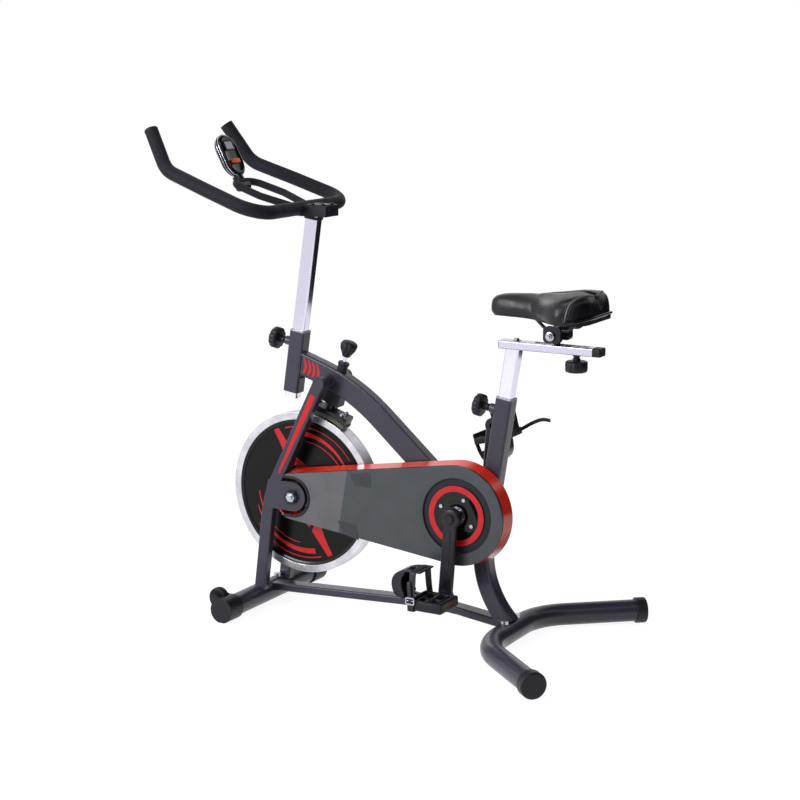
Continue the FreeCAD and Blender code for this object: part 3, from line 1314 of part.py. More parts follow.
def make_seat():
    """Seat post, slide bar, its end caps, the carriage, its knob and the saddle clamp."""
    middle = D.slide_z + D.slide_h / 2
    bar = new_body("slide_bar")
    sketch = sketch_on(bar, "YZ", D.slide_x)
    rectangle(sketch, D.slide_w, D.slide_h, D.slide_edge)
    rectangle(sketch, D.slide_w - D.slide_wall * 2, D.slide_h - D.slide_wall * 2, 1)
    pad(bar, sketch, D.bar_l)
    slot = sketch_on(bar, "XY", D.slide_h)
    half = D.slot_w / 2
    capsule(slot, D.slot_front + half, 0, half, D.slot_back - half, 0, half)
    pocket(bar, slot, D.slide_h * 2)
    node("slide_bar", place(bar, 0, 0, middle))
    solid = box("slide_room", D.bar_l, D.slide_w, D.slide_h, D.slide_x, 0, D.slide_z)
    post = seat_place(upright("seat_post_tube", D.post_l, D.post_w, D.post_wall, D.post_edge,
                              -D.seat_post_tail, D.seat_post_top))
    node("seat_post", cut("seat_post", post, solid))
    back = D.slide_x + D.bar_l
    caps = [bar_cap("front_bar_cap", D.slide_x - 3, 3, D.slide_x),
            bar_cap("rear_bar_cap", back, D.end_cap_t, back - D.end_cap_plug)]
    node("bar_end_caps", fuse("bar_end_caps", *[place(c, 0, 0, middle) for c in caps]))
    carriage = new_body("saddle_carriage")
    sketch = sketch_on(carriage, "YZ", D.slider_x - D.slider_len / 2)
    room = D.slide_wall * 2 + D.slider_down
    rectangle(sketch, D.slide_w - room, D.slide_h - room, 1)
    pad(carriage, sketch, D.slider_len)
    stub = sketch_on(carriage, "XY", 0)
    circle(stub, D.stub_x, 0, D.stub_r)
    pad(carriage, stub, D.clamp_z - middle)
    place(carriage, 0, 0, middle)
    barrel = cross_rod("pivot_barrel", D.clamp_r, D.barrel_half, D.stub_x, D.clamp_z)
    bore = cross_rod("pivot_bore", D.pivot_r + D.shaft_gap, D.clamp_w, D.stub_x, D.clamp_z)
    thread = rod("knob_thread", D.slide_screw_r + D.shaft_gap, D.slide_h, D.slide_knob_x, 0,
                 D.slide_z)
    node("saddle_carriage", cut("saddle_carriage", fuse("carriage", carriage, barrel), bore,
                                thread))
    low, high = D.slide_knob_drop + D.slide_knob_t, D.slide_h - D.slide_wall - D.slider_down
    knob = turned("slide_knob", [
        (-low, 0, None), (-low, D.slide_knob_r, 5), (-D.slide_knob_drop, D.slide_knob_r, 3),
        (-D.slide_knob_drop, D.knob_neck_r, None), (-D.slider_down, D.knob_neck_r, None),
        (-D.slider_down, D.slide_screw_r, None), (high, D.slide_screw_r, None),
        (high, 0, None)], "Z")
    node("slide_knob", place(knob, D.slide_knob_x, 0, D.slide_z))


def bar_cap(name, start, thick, plug_from):
    """A cap on an end of the slide bar, with a plug inside the bar."""
    body = new_body(name)
    sketch = sketch_on(body, "YZ", start)
    rectangle(sketch, D.slide_w, D.slide_h, D.slide_edge)
    pad(body, sketch, thick)
    plug = sketch_on(body, "YZ", plug_from)
    rectangle(plug, D.slide_w - D.slide_wall * 2, D.slide_h - D.slide_wall * 2, 1)
    pad(body, plug, D.end_cap_plug)
    return body


def make_saddle():
    """The clamp cheeks on their bolt, the two rails, the base and the pad."""
    base = new_body("saddle_base")
    sketch = sketch_on(base, "XY", D.saddle_base_z)
    saddle_plan(sketch, D.base_inset)
    pad(base, sketch, D.saddle_base_t)
    node("saddle_base", base)
    front, back = D.rail_rod_front, D.rail_rod_back
    top = D.saddle_base_z + D.saddle_base_t / 2
    route = [(front - D.rail_rod_rise, top, None), (front, D.rail_rod_z, 16),
             (back, D.rail_rod_z, 16), (back + D.rail_rod_rise, top, None)]
    rods, cheeks = [], []
    for name, side in (("left", 1), ("right", -1)):
        bent = swept(f"rail_{name}", route, lambda s: circle(s, 0, 0, D.rail_rod_r))
        rods.append(place(bent, 0, D.rail_rod_y * -side, 0))
        cheek = new_body(f"cheek_{name}")
        layer(cheek, side, D.clamp_in, D.clamp_w / 2 - D.clamp_in, lambda s: rectangle(
            s, D.clamp_l, D.clamp_top - D.clamp_low, 8, D.stub_x + 2,
            (D.clamp_top + D.clamp_low) / 2))
        cheeks.append(cheek)
    node("saddle_rails", cut("saddle_rails", fuse("saddle_rails", *rods), base))
    bolt = cross_rod("clamp_bolt", D.pivot_r, D.clamp_w / 2 + 4, D.stub_x, D.clamp_z)
    node("saddle_clamp", cut("saddle_clamp", fuse("saddle_clamp", bolt, *cheeks),
                             NODES["saddle_rails"]))
    cover = new_body("saddle_plan")
    sketch = sketch_on(cover, "XY", D.saddle_base_z)
    saddle_plan(sketch, size(0))
    pad(cover, sketch, D.saddle_top_z)
    side = new_body("saddle_side")
    layer(side, 1, -D.saddle_half, D.saddle_half * 2, lambda s: trace(s, saddle_side()))
    common = DOC.addObject("Part::MultiCommon", "saddle_form")
    common.Shapes = [cover, side]
    node("saddle_pad", cut("saddle_pad", common, base))


def saddle_plan(sketch, inset):
    """The saddle seen from above, drawn in by an inset."""
    nose, back = D.saddle_nose_x + inset, D.saddle_back_x - inset
    right = [(nose, D.saddle_nose_y - inset, D.saddle_nose_r - inset),
             (D.saddle_mid_x, D.saddle_mid_y - inset, D.saddle_waist_r),
             (D.saddle_wide_x, D.saddle_half - inset, D.saddle_hip_r),
             (back, D.saddle_half - inset - 7, D.saddle_hip_r - inset)]
    trace(sketch, [(x, -y, r) for x, y, r in right] + right[::-1])


def saddle_side():
    """The saddle seen from the side."""
    low = D.saddle_base_z
    return [(D.saddle_nose_x + 4, low, None), (D.saddle_nose_x, low + 16, 8),
            (D.saddle_nose_x + 15, D.saddle_nose_z, 22), (D.saddle_dip_x, D.saddle_dip_z, 200),
            (D.saddle_back_x - 18, D.saddle_top_z, 18), (D.saddle_back_x, D.saddle_tail_z, 14),
            (D.saddle_back_x - 4, low, None)]


# ---------------------------------------------------------------- transport wheels

def make_transport_wheels():
    half = D.transport_w / 2
    for name, side in (("left", -1), ("right", 1)):
        wheel = ring(f"transport_wheel_{name}", -half, half, D.transport_pin_r + D.shaft_gap,
                     D.transport_r, corner=3)
        node(f"transport_wheel_{name}",
             place(wheel, D.transport_x, D.transport_y * side, D.transport_z))


# ---------------------------------------------------------------- checks and export

def check():
    """Stops when any object is in error or any shape is not sound."""
    for thing in DOC.Objects:
        states = set(thing.State) & {"Invalid", "Error"}
        if states:
            raise SystemExit(f"{thing.Label}: {states}")
    for name, thing in NODES.items():
        shape = thing.Shape
        if shape.isNull() or not shape.isValid() or not shape.Solids:
            raise SystemExit(f"{name}: shape is not sound")


def export():
    os.makedirs("parts", exist_ok=True)
    for name, thing in NODES.items():
        thing.Shape.exportStep(f"parts/{name}.step")


TOOLS = make_tools()
make_sleeves()
make_beams()
make_fork()
make_feet()
make_bolts()
make_flywheel()
make_belt()
make_cover()
make_crank()
make_pedals()
make_brake()
make_handlebar()
make_pins()
make_seat()
make_saddle()
make_transport_wheels()
DOC.recompute()
check()
export()
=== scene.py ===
"""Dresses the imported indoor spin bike: finishes, trim, padding, stage, lights and camera."""

import json
import math

import bmesh
import bpy
from bpy.props import FloatProperty, FloatVectorProperty, IntProperty, PointerProperty
from mathutils import Matrix, Vector
from mathutils.bvhtree import BVHTree


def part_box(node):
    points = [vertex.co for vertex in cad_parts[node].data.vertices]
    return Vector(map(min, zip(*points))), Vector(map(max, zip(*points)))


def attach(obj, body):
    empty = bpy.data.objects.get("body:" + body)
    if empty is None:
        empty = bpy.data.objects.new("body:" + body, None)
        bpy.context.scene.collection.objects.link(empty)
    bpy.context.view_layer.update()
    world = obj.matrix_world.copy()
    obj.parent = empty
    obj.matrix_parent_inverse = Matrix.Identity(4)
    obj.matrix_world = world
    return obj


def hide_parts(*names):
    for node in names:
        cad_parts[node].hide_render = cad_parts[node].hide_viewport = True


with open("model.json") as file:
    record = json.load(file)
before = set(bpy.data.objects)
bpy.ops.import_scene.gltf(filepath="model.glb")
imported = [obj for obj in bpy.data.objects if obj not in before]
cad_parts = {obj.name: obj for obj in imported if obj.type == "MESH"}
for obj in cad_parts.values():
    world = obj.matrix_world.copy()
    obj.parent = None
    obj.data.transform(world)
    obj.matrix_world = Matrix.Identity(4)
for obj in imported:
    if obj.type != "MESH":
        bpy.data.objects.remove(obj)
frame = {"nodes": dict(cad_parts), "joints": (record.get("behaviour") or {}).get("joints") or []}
NODES = frame["nodes"]
JOINTS = {j["name"]: j for j in frame["joints"]}
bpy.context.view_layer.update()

bl_info = {
    "name": "Indoor spin bike",
    "version": (1, 0, 0),
    "blender": (4, 5, 0),
    "location": "View3D > Sidebar > Spin Bike",
    "description": "Builds the visible finish of an indoor spin bike round its packed solids",
    "category": "Object",
}

MM = 0.001
X, Y, Z = Vector((1, 0, 0)), Vector((0, 1, 0)), Vector((0, 0, 1))


# ------------------------------------------------------------------ places read from the frame

def joint_axis(name):
    return Vector(JOINTS[name]["axis"]).normalized()


def joint_spot(name):
    return Vector(JOINTS[name]["pos_m"])


def box_of(node):
    low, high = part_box(node)
    return Vector(low), Vector(high)


def middle_of(node):
    low, high = box_of(node)
    return (low + high) / 2


def axes_at(origin, along, side=Y):
    """A matrix at origin with its local Z along a direction and its local Y near side."""
    z = along.normalized()
    if side.cross(z).length < 1e-3:
        side = X
    x = side.cross(z).normalized()
    y = z.cross(x)
    return Matrix((
        (x.x, y.x, z.x, origin.x), (x.y, y.y, z.y, origin.y), (x.z, y.z, z.z, origin.z),
        (0, 0, 0, 1)))


WHEEL = joint_spot("flywheel_spin")
CRANK = joint_spot("crank_spin")


# ------------------------------------------------------------------ colours and materials

def colour(code):
    """A #RRGGBB sRGB colour as linear RGBA."""
    parts = [int(code[i:i + 2], 16) / 255 for i in (1, 3, 5)]
    return tuple(c / 12.92 if c <= 0.04045 else ((c + 0.055) / 1.055) ** 2.4 for c in parts) + (1,)


def add_node(tree, kind, sockets=None, **settings):
    """Adds a node, sets its properties, and gives each named input a value or a link."""
    node = tree.nodes.new(kind)
    for key, value in settings.items():
        setattr(node, key, value)
    for key, value in (sockets or {}).items():
        socket = node.inputs[key]
        if isinstance(value, bpy.types.NodeSocket):
            tree.links.new(value, socket)
        else:
            socket.default_value = value
    return node


def new_material(name, **shader):
    """A material with one Principled BSDF, whose uniform values sit on its own sockets."""
    material = bpy.data.materials.new(name)
    material.use_nodes = True
    tree = material.node_tree
    tree.nodes.clear()
    bsdf = add_node(tree, "ShaderNodeBsdfPrincipled", shader)
    output = add_node(tree, "ShaderNodeOutputMaterial")
    tree.links.new(bsdf.outputs[0], output.inputs["Surface"])
    return material, tree, bsdf


def object_coords(tree):
    return add_node(tree, "ShaderNodeTexCoord").outputs["Object"]


def noise(tree, coords, size_mm, detail=2.0, rough=0.5):
    """Noise whose blobs are about size_mm wide."""
    return add_node(tree, "ShaderNodeTexNoise", {
        "Vector": coords, "Scale": 1 / (size_mm * MM), "Detail": detail, "Roughness": rough
    }).outputs["Fac"]


def shade(tone, factor):
    return tuple(c * factor for c in tone[:3])


def as_rgba(tone):
    """RGBA of a #RRGGBB code, a grey value or a linear colour."""
    if isinstance(tone, str):
        return colour(tone)
    if isinstance(tone, (int, float)):
        return (tone, tone, tone, 1)
    return (*tone[:3], 1)


def ramp(tree, fac, stops):
    """A colour ramp with stops (position, tone)."""
    node = add_node(tree, "ShaderNodeValToRGB", {"Fac": fac})
    elements = node.color_ramp.elements
    while len(elements) < len(stops):
        elements.new(0.5)
    for element, (position, tone) in zip(elements, stops):
        element.position = position
        element.color = as_rgba(tone)
    return node.outputs["Color"]


def bump(tree, bsdf, height, depth_mm, strength):
    node = add_node(tree, "ShaderNodeBump", {
        "Height": height, "Distance": depth_mm * MM, "Strength": strength})
    tree.links.new(node.outputs["Normal"], bsdf.inputs["Normal"])


def link(tree, source, bsdf, socket):
    tree.links.new(source, bsdf.inputs[socket])


def charcoal_powder_coat(paint):
    """Powder coat baked on steel: fine orange peel and a soft sheen."""
    material, tree, bsdf = new_material("charcoal_powder_coat", **{
        "Metallic": 0.0, "IOR": 1.5, "Specular IOR Level": 0.35, "Coat Weight": 0.25,
        "Coat Roughness": 0.14})
    coords = object_coords(tree)
    link(tree, ramp(tree, noise(tree, coords, 60, 3), [(0.35, shade(paint, 0.86)), (0.65, paint)]),
         bsdf, "Base Color")
    link(tree, ramp(tree, noise(tree, coords, 8, 2), [(0.3, 0.3), (0.7, 0.42)]), bsdf, "Roughness")
    bump(tree, bsdf, noise(tree, coords, 1.6, 2), 0.05, 0.35)
    return material


def chrome_plate():
    """Bright chrome on drawn tube: mirror finish with a faint handling haze."""
    material, tree, bsdf = new_material("chrome_plate", **{
        "Metallic": 1.0, "Base Color": colour("#D8D6E6")})
    coords = object_coords(tree)
    link(tree, ramp(tree, noise(tree, coords, 25, 4), [(0.3, 0.05), (0.75, 0.14)]),
         bsdf, "Roughness")
    return material


def satin_nickel():
    """Nickel plate over brushed steel: a soft broad shine with lengthwise hairlines."""
    material, tree, bsdf = new_material("satin_nickel", **{
        "Metallic": 1.0, "Base Color": colour("#C9C6DA")})
    coords = object_coords(tree)
    lines = add_node(tree, "ShaderNodeMapping", {"Vector": coords, "Scale": (8, 900, 900)})
    grain = add_node(tree, "ShaderNodeTexNoise", {
        "Vector": lines.outputs[0], "Scale": 1.0, "Detail": 2.0}).outputs["Fac"]
    link(tree, ramp(tree, grain, [(0.3, 0.2), (0.7, 0.34)]), bsdf, "Roughness")
    bump(tree, bsdf, grain, 0.02, 0.2)
    return material


def zinc_plate():
    """Bright zinc on small steel parts: slightly blue, mottled shine."""
    material, tree, bsdf = new_material("zinc_plate", **{"Metallic": 1.0})
    coords = object_coords(tree)
    link(tree, ramp(tree, noise(tree, coords, 3, 3), [(0.3, "#A6A8B4"), (0.7, "#C4C6D2")]),
         bsdf, "Base Color")
    link(tree, ramp(tree, noise(tree, coords, 5, 2), [(0.3, 0.22), (0.7, 0.38)]),
         bsdf, "Roughness")
    return material


def wheel_radius(tree):
    """Distance from the flywheel axis in metres, from Object coordinates."""
    coords = object_coords(tree)
    shift = add_node(tree, "ShaderNodeVectorMath", {0: coords, 1: WHEEL}, operation="SUBTRACT")
    flat = add_node(tree, "ShaderNodeVectorMath", {0: shift.outputs[0], 1: (1, 0, 1)},
                    operation="MULTIPLY")
    length = add_node(tree, "ShaderNodeVectorMath", {0: flat.outputs[0]}, operation="LENGTH")
    return coords, length.outputs["Value"]


def machined_and_enamelled_iron(rim_inner):
    """Cast flywheel: rim turned bright, web brushed with black enamel.

    The lathe rings are 0.9 mm apart, coarser than real ones so that they show.
    """
    material, tree, bsdf = new_material("machined_and_enamelled_iron", **{
        "Specular IOR Level": 0.2, "IOR": 1.5})
    coords, radius = wheel_radius(tree)
    on_rim = add_node(tree, "ShaderNodeMath", {0: radius, 1: rim_inner}, operation="GREATER_THAN")
    rim = on_rim.outputs[0]
    rings = add_node(tree, "ShaderNodeMath", {0: radius, 1: 2 * math.pi / (0.9 * MM)},
                     operation="MULTIPLY")
    groove = add_node(tree, "ShaderNodeMath", {0: rings.outputs[0]}, operation="SINE").outputs[0]
    metal = ramp(tree, noise(tree, coords, 30, 3), [(0.3, "#BCBCC4"), (0.7, "#DCDCE2")])
    enamel = ramp(tree, noise(tree, coords, 40, 3), [(0.3, "#040406"), (0.7, "#09090D")])
    tone = add_node(tree, "ShaderNodeMix", {0: rim, 6: enamel, 7: metal}, data_type="RGBA")
    link(tree, tone.outputs[2], bsdf, "Base Color")
    link(tree, rim, bsdf, "Metallic")
    rough = add_node(tree, "ShaderNodeMapRange", {"Value": groove, "From Min": -1.0,
                                                  "To Min": 0.2, "To Max": 0.34})
    link(tree, rough.outputs[0], bsdf, "Roughness")
    height = add_node(tree, "ShaderNodeMath", {0: groove, 1: rim}, operation="MULTIPLY")
    bump(tree, bsdf, height.outputs[0], 0.03, 0.25)
    return material


def moulded_plastic(name, low, high, rough=(0.38, 0.52), grain_mm=0.9, depth_mm=0.05):
    """Injection moulded plastic with a spark-eroded grain."""
    material, tree, bsdf = new_material(name, **{"IOR": 1.48, "Specular IOR Level": 0.35})
    coords = object_coords(tree)
    link(tree, ramp(tree, noise(tree, coords, 20, 3), [(0.3, low), (0.7, high)]),
         bsdf, "Base Color")
    link(tree, ramp(tree, noise(tree, coords, 6, 3), [(0.3, rough[0]), (0.7, rough[1])]),
         bsdf, "Roughness")
    bump(tree, bsdf, noise(tree, coords, grain_mm, 2), depth_mm, 0.4)
    return material


def glossy_red_abs():
    """Gloss ABS moulding: deep red under a clear shine, with slight sink waves."""
    material, tree, bsdf = new_material("glossy_red_abs", **{
        "IOR": 1.53, "Coat Weight": 0.35, "Coat Roughness": 0.22})
    coords = object_coords(tree)
    link(tree, ramp(tree, noise(tree, coords, 80, 2), [(0.3, "#E8220F"), (0.7, "#FB3318")]),
         bsdf, "Base Color")
    link(tree, ramp(tree, noise(tree, coords, 12, 2), [(0.3, 0.16), (0.7, 0.26)]),
         bsdf, "Roughness")
    bump(tree, bsdf, noise(tree, coords, 45, 1), 0.3, 0.15)
    return material


def red_enamel_film(name="red_enamel_film", low="#D8121C", high="#EA1C24"):
    """Cut vinyl film with a satin face, laid on paint."""
    material, tree, bsdf = new_material(name, **{"IOR": 1.5})
    coords = object_coords(tree)
    link(tree, ramp(tree, noise(tree, coords, 15, 3), [(0.3, low), (0.7, high)]),
         bsdf, "Base Color")
    link(tree, ramp(tree, noise(tree, coords, 2, 2), [(0.3, 0.3), (0.7, 0.4)]), bsdf, "Roughness")
    return material


def nitrile_foam():
    """Closed-cell foam sleeve: matte black with a soft sheen.

    Its pores are 1.2 mm across, coarser than real ones so that they show.
    """
    material, tree, bsdf = new_material("nitrile_foam", **{
        "IOR": 1.45, "Specular IOR Level": 0.3, "Sheen Weight": 0.05, "Sheen Roughness": 0.5})
    coords = object_coords(tree)
    link(tree, ramp(tree, noise(tree, coords, 30, 3), [(0.3, "#11101A"), (0.7, "#1C1A28")]),
         bsdf, "Base Color")
    link(tree, ramp(tree, noise(tree, coords, 4, 2), [(0.3, 0.6), (0.7, 0.78)]), bsdf, "Roughness")
    pores = add_node(tree, "ShaderNodeTexVoronoi", {"Vector": coords, "Scale": 1 / (1.2 * MM)},
                     feature="SMOOTH_F1").outputs["Distance"]
    bump(tree, bsdf, pores, 0.12, 0.4)
    return material


def black_rubber():
    """Moulded rubber: dull and faintly mottled."""
    material, tree, bsdf = new_material("black_rubber", **{
        "IOR": 1.5, "Specular IOR Level": 0.35})
    coords = object_coords(tree)
    link(tree, ramp(tree, noise(tree, coords, 10, 4), [(0.3, "#0C0C0E"), (0.75, "#18181B")]),
         bsdf, "Base Color")
    link(tree, ramp(tree, noise(tree, coords, 3, 2), [(0.3, 0.55), (0.7, 0.72)]),
         bsdf, "Roughness")
    bump(tree, bsdf, noise(tree, coords, 0.8, 2), 0.05, 0.5)
    return material


def pressed_felt():
    """Wool felt: grey olive and matte, its matted fibres drawn at 1 mm so that they show."""
    material, tree, bsdf = new_material("pressed_felt", **{
        "IOR": 1.4, "Sheen Weight": 0.4, "Roughness": 0.95})
    coords = object_coords(tree)
    fibre = noise(tree, coords, 1.0, 5, 0.75)
    link(tree, ramp(tree, fibre, [(0.3, "#4C4C3E"), (0.5, "#6B6A58"), (0.7, "#8B8A76")]),
         bsdf, "Base Color")
    bump(tree, bsdf, fibre, 0.5, 0.8)
    return material


def black_vinyl(tone):
    """Calendered vinyl upholstery: embossed leather grain of about 1.5 mm cells, waxy shine."""
    material, tree, bsdf = new_material("black_vinyl", **{
        "IOR": 1.5, "Specular IOR Level": 0.3, "Coat Weight": 0.08, "Coat Roughness": 0.2})
    coords = object_coords(tree)
    link(tree, ramp(tree, noise(tree, coords, 35, 3), [(0.3, shade(tone, 0.6)), (0.7, tone)]),
         bsdf, "Base Color")
    link(tree, ramp(tree, noise(tree, coords, 18, 3), [(0.3, 0.27), (0.7, 0.42)]),
         bsdf, "Roughness")
    cells = add_node(tree, "ShaderNodeTexVoronoi", {"Vector": coords, "Scale": 1 / (1.5 * MM)},
                     feature="DISTANCE_TO_EDGE").outputs["Distance"]
    crease = ramp(tree, cells, [(0.0, 0.0), (0.12, 1.0)])
    bump(tree, bsdf, crease, 0.08, 0.35)
    return material


def clear_coated_cover(split):
    """Satin ABS cover in two greys that meet on a slanted edge, under a thin clear coat."""
    material, tree, bsdf = new_material("clear_coated_cover", **{
        "IOR": 1.5, "Coat Weight": 0.3, "Coat Roughness": 0.2})
    coords = object_coords(tree)
    place = add_node(tree, "ShaderNodeSeparateXYZ", {0: coords})
    slant = add_node(tree, "ShaderNodeMath", {0: place.outputs["Z"], 1: 0.17},
                     operation="MULTIPLY")
    across = add_node(tree, "ShaderNodeMath", {0: place.outputs["X"], 1: slant.outputs[0]},
                      operation="SUBTRACT")
    edge = add_node(tree, "ShaderNodeMapRange", {
        "Value": across.outputs[0], "From Min": split - 0.001, "From Max": split + 0.001})
    pale = ramp(tree, noise(tree, coords, 50, 3), [(0.3, "#5F5F65"), (0.7, "#6A6A70")])
    deep = ramp(tree, noise(tree, coords, 50, 3), [(0.3, "#34393F"), (0.7, "#3D4249")])
    tone = add_node(tree, "ShaderNodeMix", {0: edge.outputs[0], 6: pale, 7: deep},
                    data_type="RGBA")
    link(tree, tone.outputs[2], bsdf, "Base Color")
    link(tree, ramp(tree, noise(tree, coords, 9, 3), [(0.3, 0.34), (0.7, 0.46)]),
         bsdf, "Roughness")
    bump(tree, bsdf, noise(tree, coords, 1.2, 2), 0.03, 0.3)
    return material


def display_glass():
    """Reflective display: grey-green liquid crystal under clear acrylic."""
    material, tree, bsdf = new_material("display_glass", **{
        "IOR": 1.49, "Coat Weight": 1.0, "Coat Roughness": 0.03, "Roughness": 0.35})
    coords = object_coords(tree)
    link(tree, ramp(tree, noise(tree, coords, 15, 2), [(0.3, "#8E8F9C"), (0.7, "#9C9DAA")]),
         bsdf, "Base Color")
    return material


# metres: where the flywheel's turned rim starts, and where the cover's two greys meet
RIM_INNER = 0.165
COVER_SPLIT = -0.118

FINISHES = {}


def finish(name):
    return FINISHES[name]


NODE_FINISHES = {
    "paint": (
        "head_tube", "main_tube", "seat_tube", "bottom_rail", "bottom_bracket_shell",
        "fork_leg_left", "fork_leg_right", "fork_stubs", "front_stabilizer",
        "rear_stabilizer", "crank_arm_left", "crank_arm_right"),
    "chrome": ("handlebar_post", "seat_post", "brake_rod"),
    "satin": ("slide_bar", "crank_pulley", "flywheel_pulley"),
    "zinc": ("frame_fasteners", "flywheel_axle", "flywheel_bearings", "brake_nut"),
    "plastic": ("front_end_caps", "rear_end_caps", "brake_guide", "brake_knob",
                "head_knob", "seat_knob", "slide_knob", "bar_end_caps", "pedal_left",
                "pedal_right", "toe_cage_left", "toe_cage_right", "stem_clamp",
                "saddle_base", "cover_hub_plate"),
    "bush": ("post_bushes",),
    "steel": ("brake_shoe", "saddle_rails", "saddle_clamp", "saddle_carriage", "crank_axle",
              "crank_bearings", "crank_bolts", "pedal_spindles"),
    "gloss": ("console",),
    "rubber": ("drive_belt", "transport_wheel_left", "transport_wheel_right"),
    "webbing": ("toe_strap_left", "toe_strap_right"),
    "foam": ("handlebar", "inner_bar"),
    "iron": ("flywheel",),
    "felt": ("felt_pad",),
    "red": ("belt_cover_back",),
    "cover": ("belt_cover_face",),
    "vinyl": ("saddle_pad",),
    "button": ("console_button",),
}


# ------------------------------------------------------------------ mesh building

def circle(radius, count=40):
    return [(radius * math.cos(2 * math.pi * i / count), radius * math.sin(2 * math.pi * i / count))
            for i in range(count)]


def rounded_box(width, height, radius, steps=5):
    """Outline of a box with rounded corners, counter-clockwise, centred."""
    points = []
    for corner, (sx, sy) in enumerate(((1, 1), (-1, 1), (-1, -1), (1, -1))):
        cx, cy = sx * (width / 2 - radius), sy * (height / 2 - radius)
        for i in range(steps + 1):
            a = math.pi / 2 * (corner + i / steps)
            points.append((cx + radius * math.cos(a), cy + radius * math.sin(a)))
    return points


def placed(outline, matrix, height=0.0, scale=1.0):
    """A flat outline at a height along the local Z of matrix."""
    return [matrix @ Vector((x * scale, y * scale, height)) for x, y in outline]


def loft(bm, rings, caps=True, closed=False, material=0):
    """Skins rings of equal count. closed joins the last ring to the first."""
    rows = [[bm.verts.new(p) for p in ring] for ring in rings]
    count = len(rows[0])
    pairs = list(zip(rows, rows[1:])) + ([(rows[-1], rows[0])] if closed else [])
    for a, b in pairs:
        for i in range(count):
            j = (i + 1) % count
            bm.faces.new((a[i], a[j], b[j], b[i])).material_index = material
    if caps and not closed:
        bm.faces.new(list(reversed(rows[0]))).material_index = material
        bm.faces.new(rows[-1]).material_index = material
    return rows


def lathe(bm, matrix, profile, count=40, material=0, closed=False):
    """Turns (radius, height) points round the local Z of matrix."""
    small = 1e-5
    rings = [placed(circle(max(r, small), count), matrix, h) for r, h in profile]
    loft(bm, rings, caps=not closed, closed=closed, material=material)


def prism(bm, matrix, outline, low, high, edge=0.0008):
    """A solid from an outline, with its two rims eased by edge."""
    def inset(points, by):
        out = []
        for i, (x, y) in enumerate(points):
            ax, ay = points[i - 1]
            bx, by_ = points[(i + 1) % len(points)]
            nx, ny = by_ - ay, ax - bx
            size = math.hypot(nx, ny) or 1
            out.append((x - nx / size * by, y - ny / size * by))
        return out
    slim = inset(outline, edge)
    rings = [placed(slim, matrix, low), placed(outline, matrix, low + edge),
             placed(outline, matrix, high - edge), placed(slim, matrix, high)]
    loft(bm, rings)


def smooth_path(points, steps=8, closed=False):
    """Catmull-Rom points through the given ones."""
    points = [Vector(p) for p in points]
    count = len(points)
    out = []
    spans = count if closed else count - 1
    for i in range(spans):
        if closed:
            a, b, c, d = (points[(i + k) % count] for k in (-1, 0, 1, 2))
        else:
            b, c = points[i], points[i + 1]
            a = points[i - 1] if i else b * 2 - c
            d = points[i + 2] if i + 2 < count else c * 2 - b
        for s in range(steps):
            t = s / steps
            out.append(0.5 * ((2 * b) + (c - a) * t + (2 * a - 5 * b + 4 * c - d) * t * t
                              + (3 * b - a - 3 * c + d) * t ** 3))
    if not closed:
        out.append(points[-1])
    return out


def sweep(bm, path, section, side=Y, closed=False, scales=None):
    """Carries a flat section along a path, with its local Y kept near side."""
    rings = []
    count = len(path)
    for i, p in enumerate(path):
        if closed:
            along = path[(i + 1) % count] - path[i - 1]
        else:
            along = path[min(i + 1, count - 1)] - path[max(i - 1, 0)]
        scale = scales[i] if scales else 1.0
        rings.append(placed(section, axes_at(p, along, side), 0.0, scale))
    loft(bm, rings, caps=not closed, closed=closed)


def piece(name, bm, body, finishes, replaces=(), bevel=0.0):
    """Closes a bmesh into an object that rides on a body and shows its finishes."""
    bmesh.ops.remove_doubles(bm, verts=bm.verts, dist=1e-6)
    bmesh.ops.recalc_face_normals(bm, faces=bm.faces)
    if not bm.faces:
        raise RuntimeError(f"{name} has no faces")
    mesh = bpy.data.meshes.new(name)
    bm.to_mesh(mesh)
    bm.free()
    return dress(name, mesh, body, finishes, replaces, bevel)


def dress(name, mesh, body, finishes, replaces=(), bevel=0.0, angle=35.0):
    """Gives a mesh its finishes and edges, and makes it ride on a body."""
    mesh.materials.clear()
    for key in finishes:
        mesh.materials.append(finish(key))
    mesh.polygons.foreach_set("use_smooth", [True] * len(mesh.polygons))
    mesh.set_sharp_from_angle(angle=math.radians(angle))
    item = bpy.data.objects.new(name, mesh)
    bpy.context.scene.collection.objects.link(item)
    if bevel:
        modifier = item.modifiers.new("eased edges", "BEVEL")
        modifier.width = bevel
        modifier.segments = 2
        modifier.limit_method = "ANGLE"
        modifier.angle_limit = math.radians(40)
    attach(item, body)
    if replaces:
        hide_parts(*replaces)
    return item


# ------------------------------------------------------------------ geometry nodes

def input_id(tree, name):
    for item in tree.interface.items_tree:
        if item.in_out == "INPUT" and item.name == name:
            return item.identifier
    raise KeyError(name)


def tree_with(name, sockets):
    """A Geometry Nodes tree with a geometry in and out and the named inputs."""
    tree = bpy.data.node_groups.new(name, "GeometryNodeTree")
    tree.interface.new_socket("Geometry", in_out="INPUT", socket_type="NodeSocketGeometry")
    for label, kind, default in sockets:
        item = tree.interface.new_socket(label, in_out="INPUT", socket_type=kind)
        if default is not None:
            item.default_value = default
    tree.interface.new_socket("Geometry", in_out="OUTPUT", socket_type="NodeSocketGeometry")
    return tree, tree.nodes.new("NodeGroupInput"), tree.nodes.new("NodeGroupOutput")


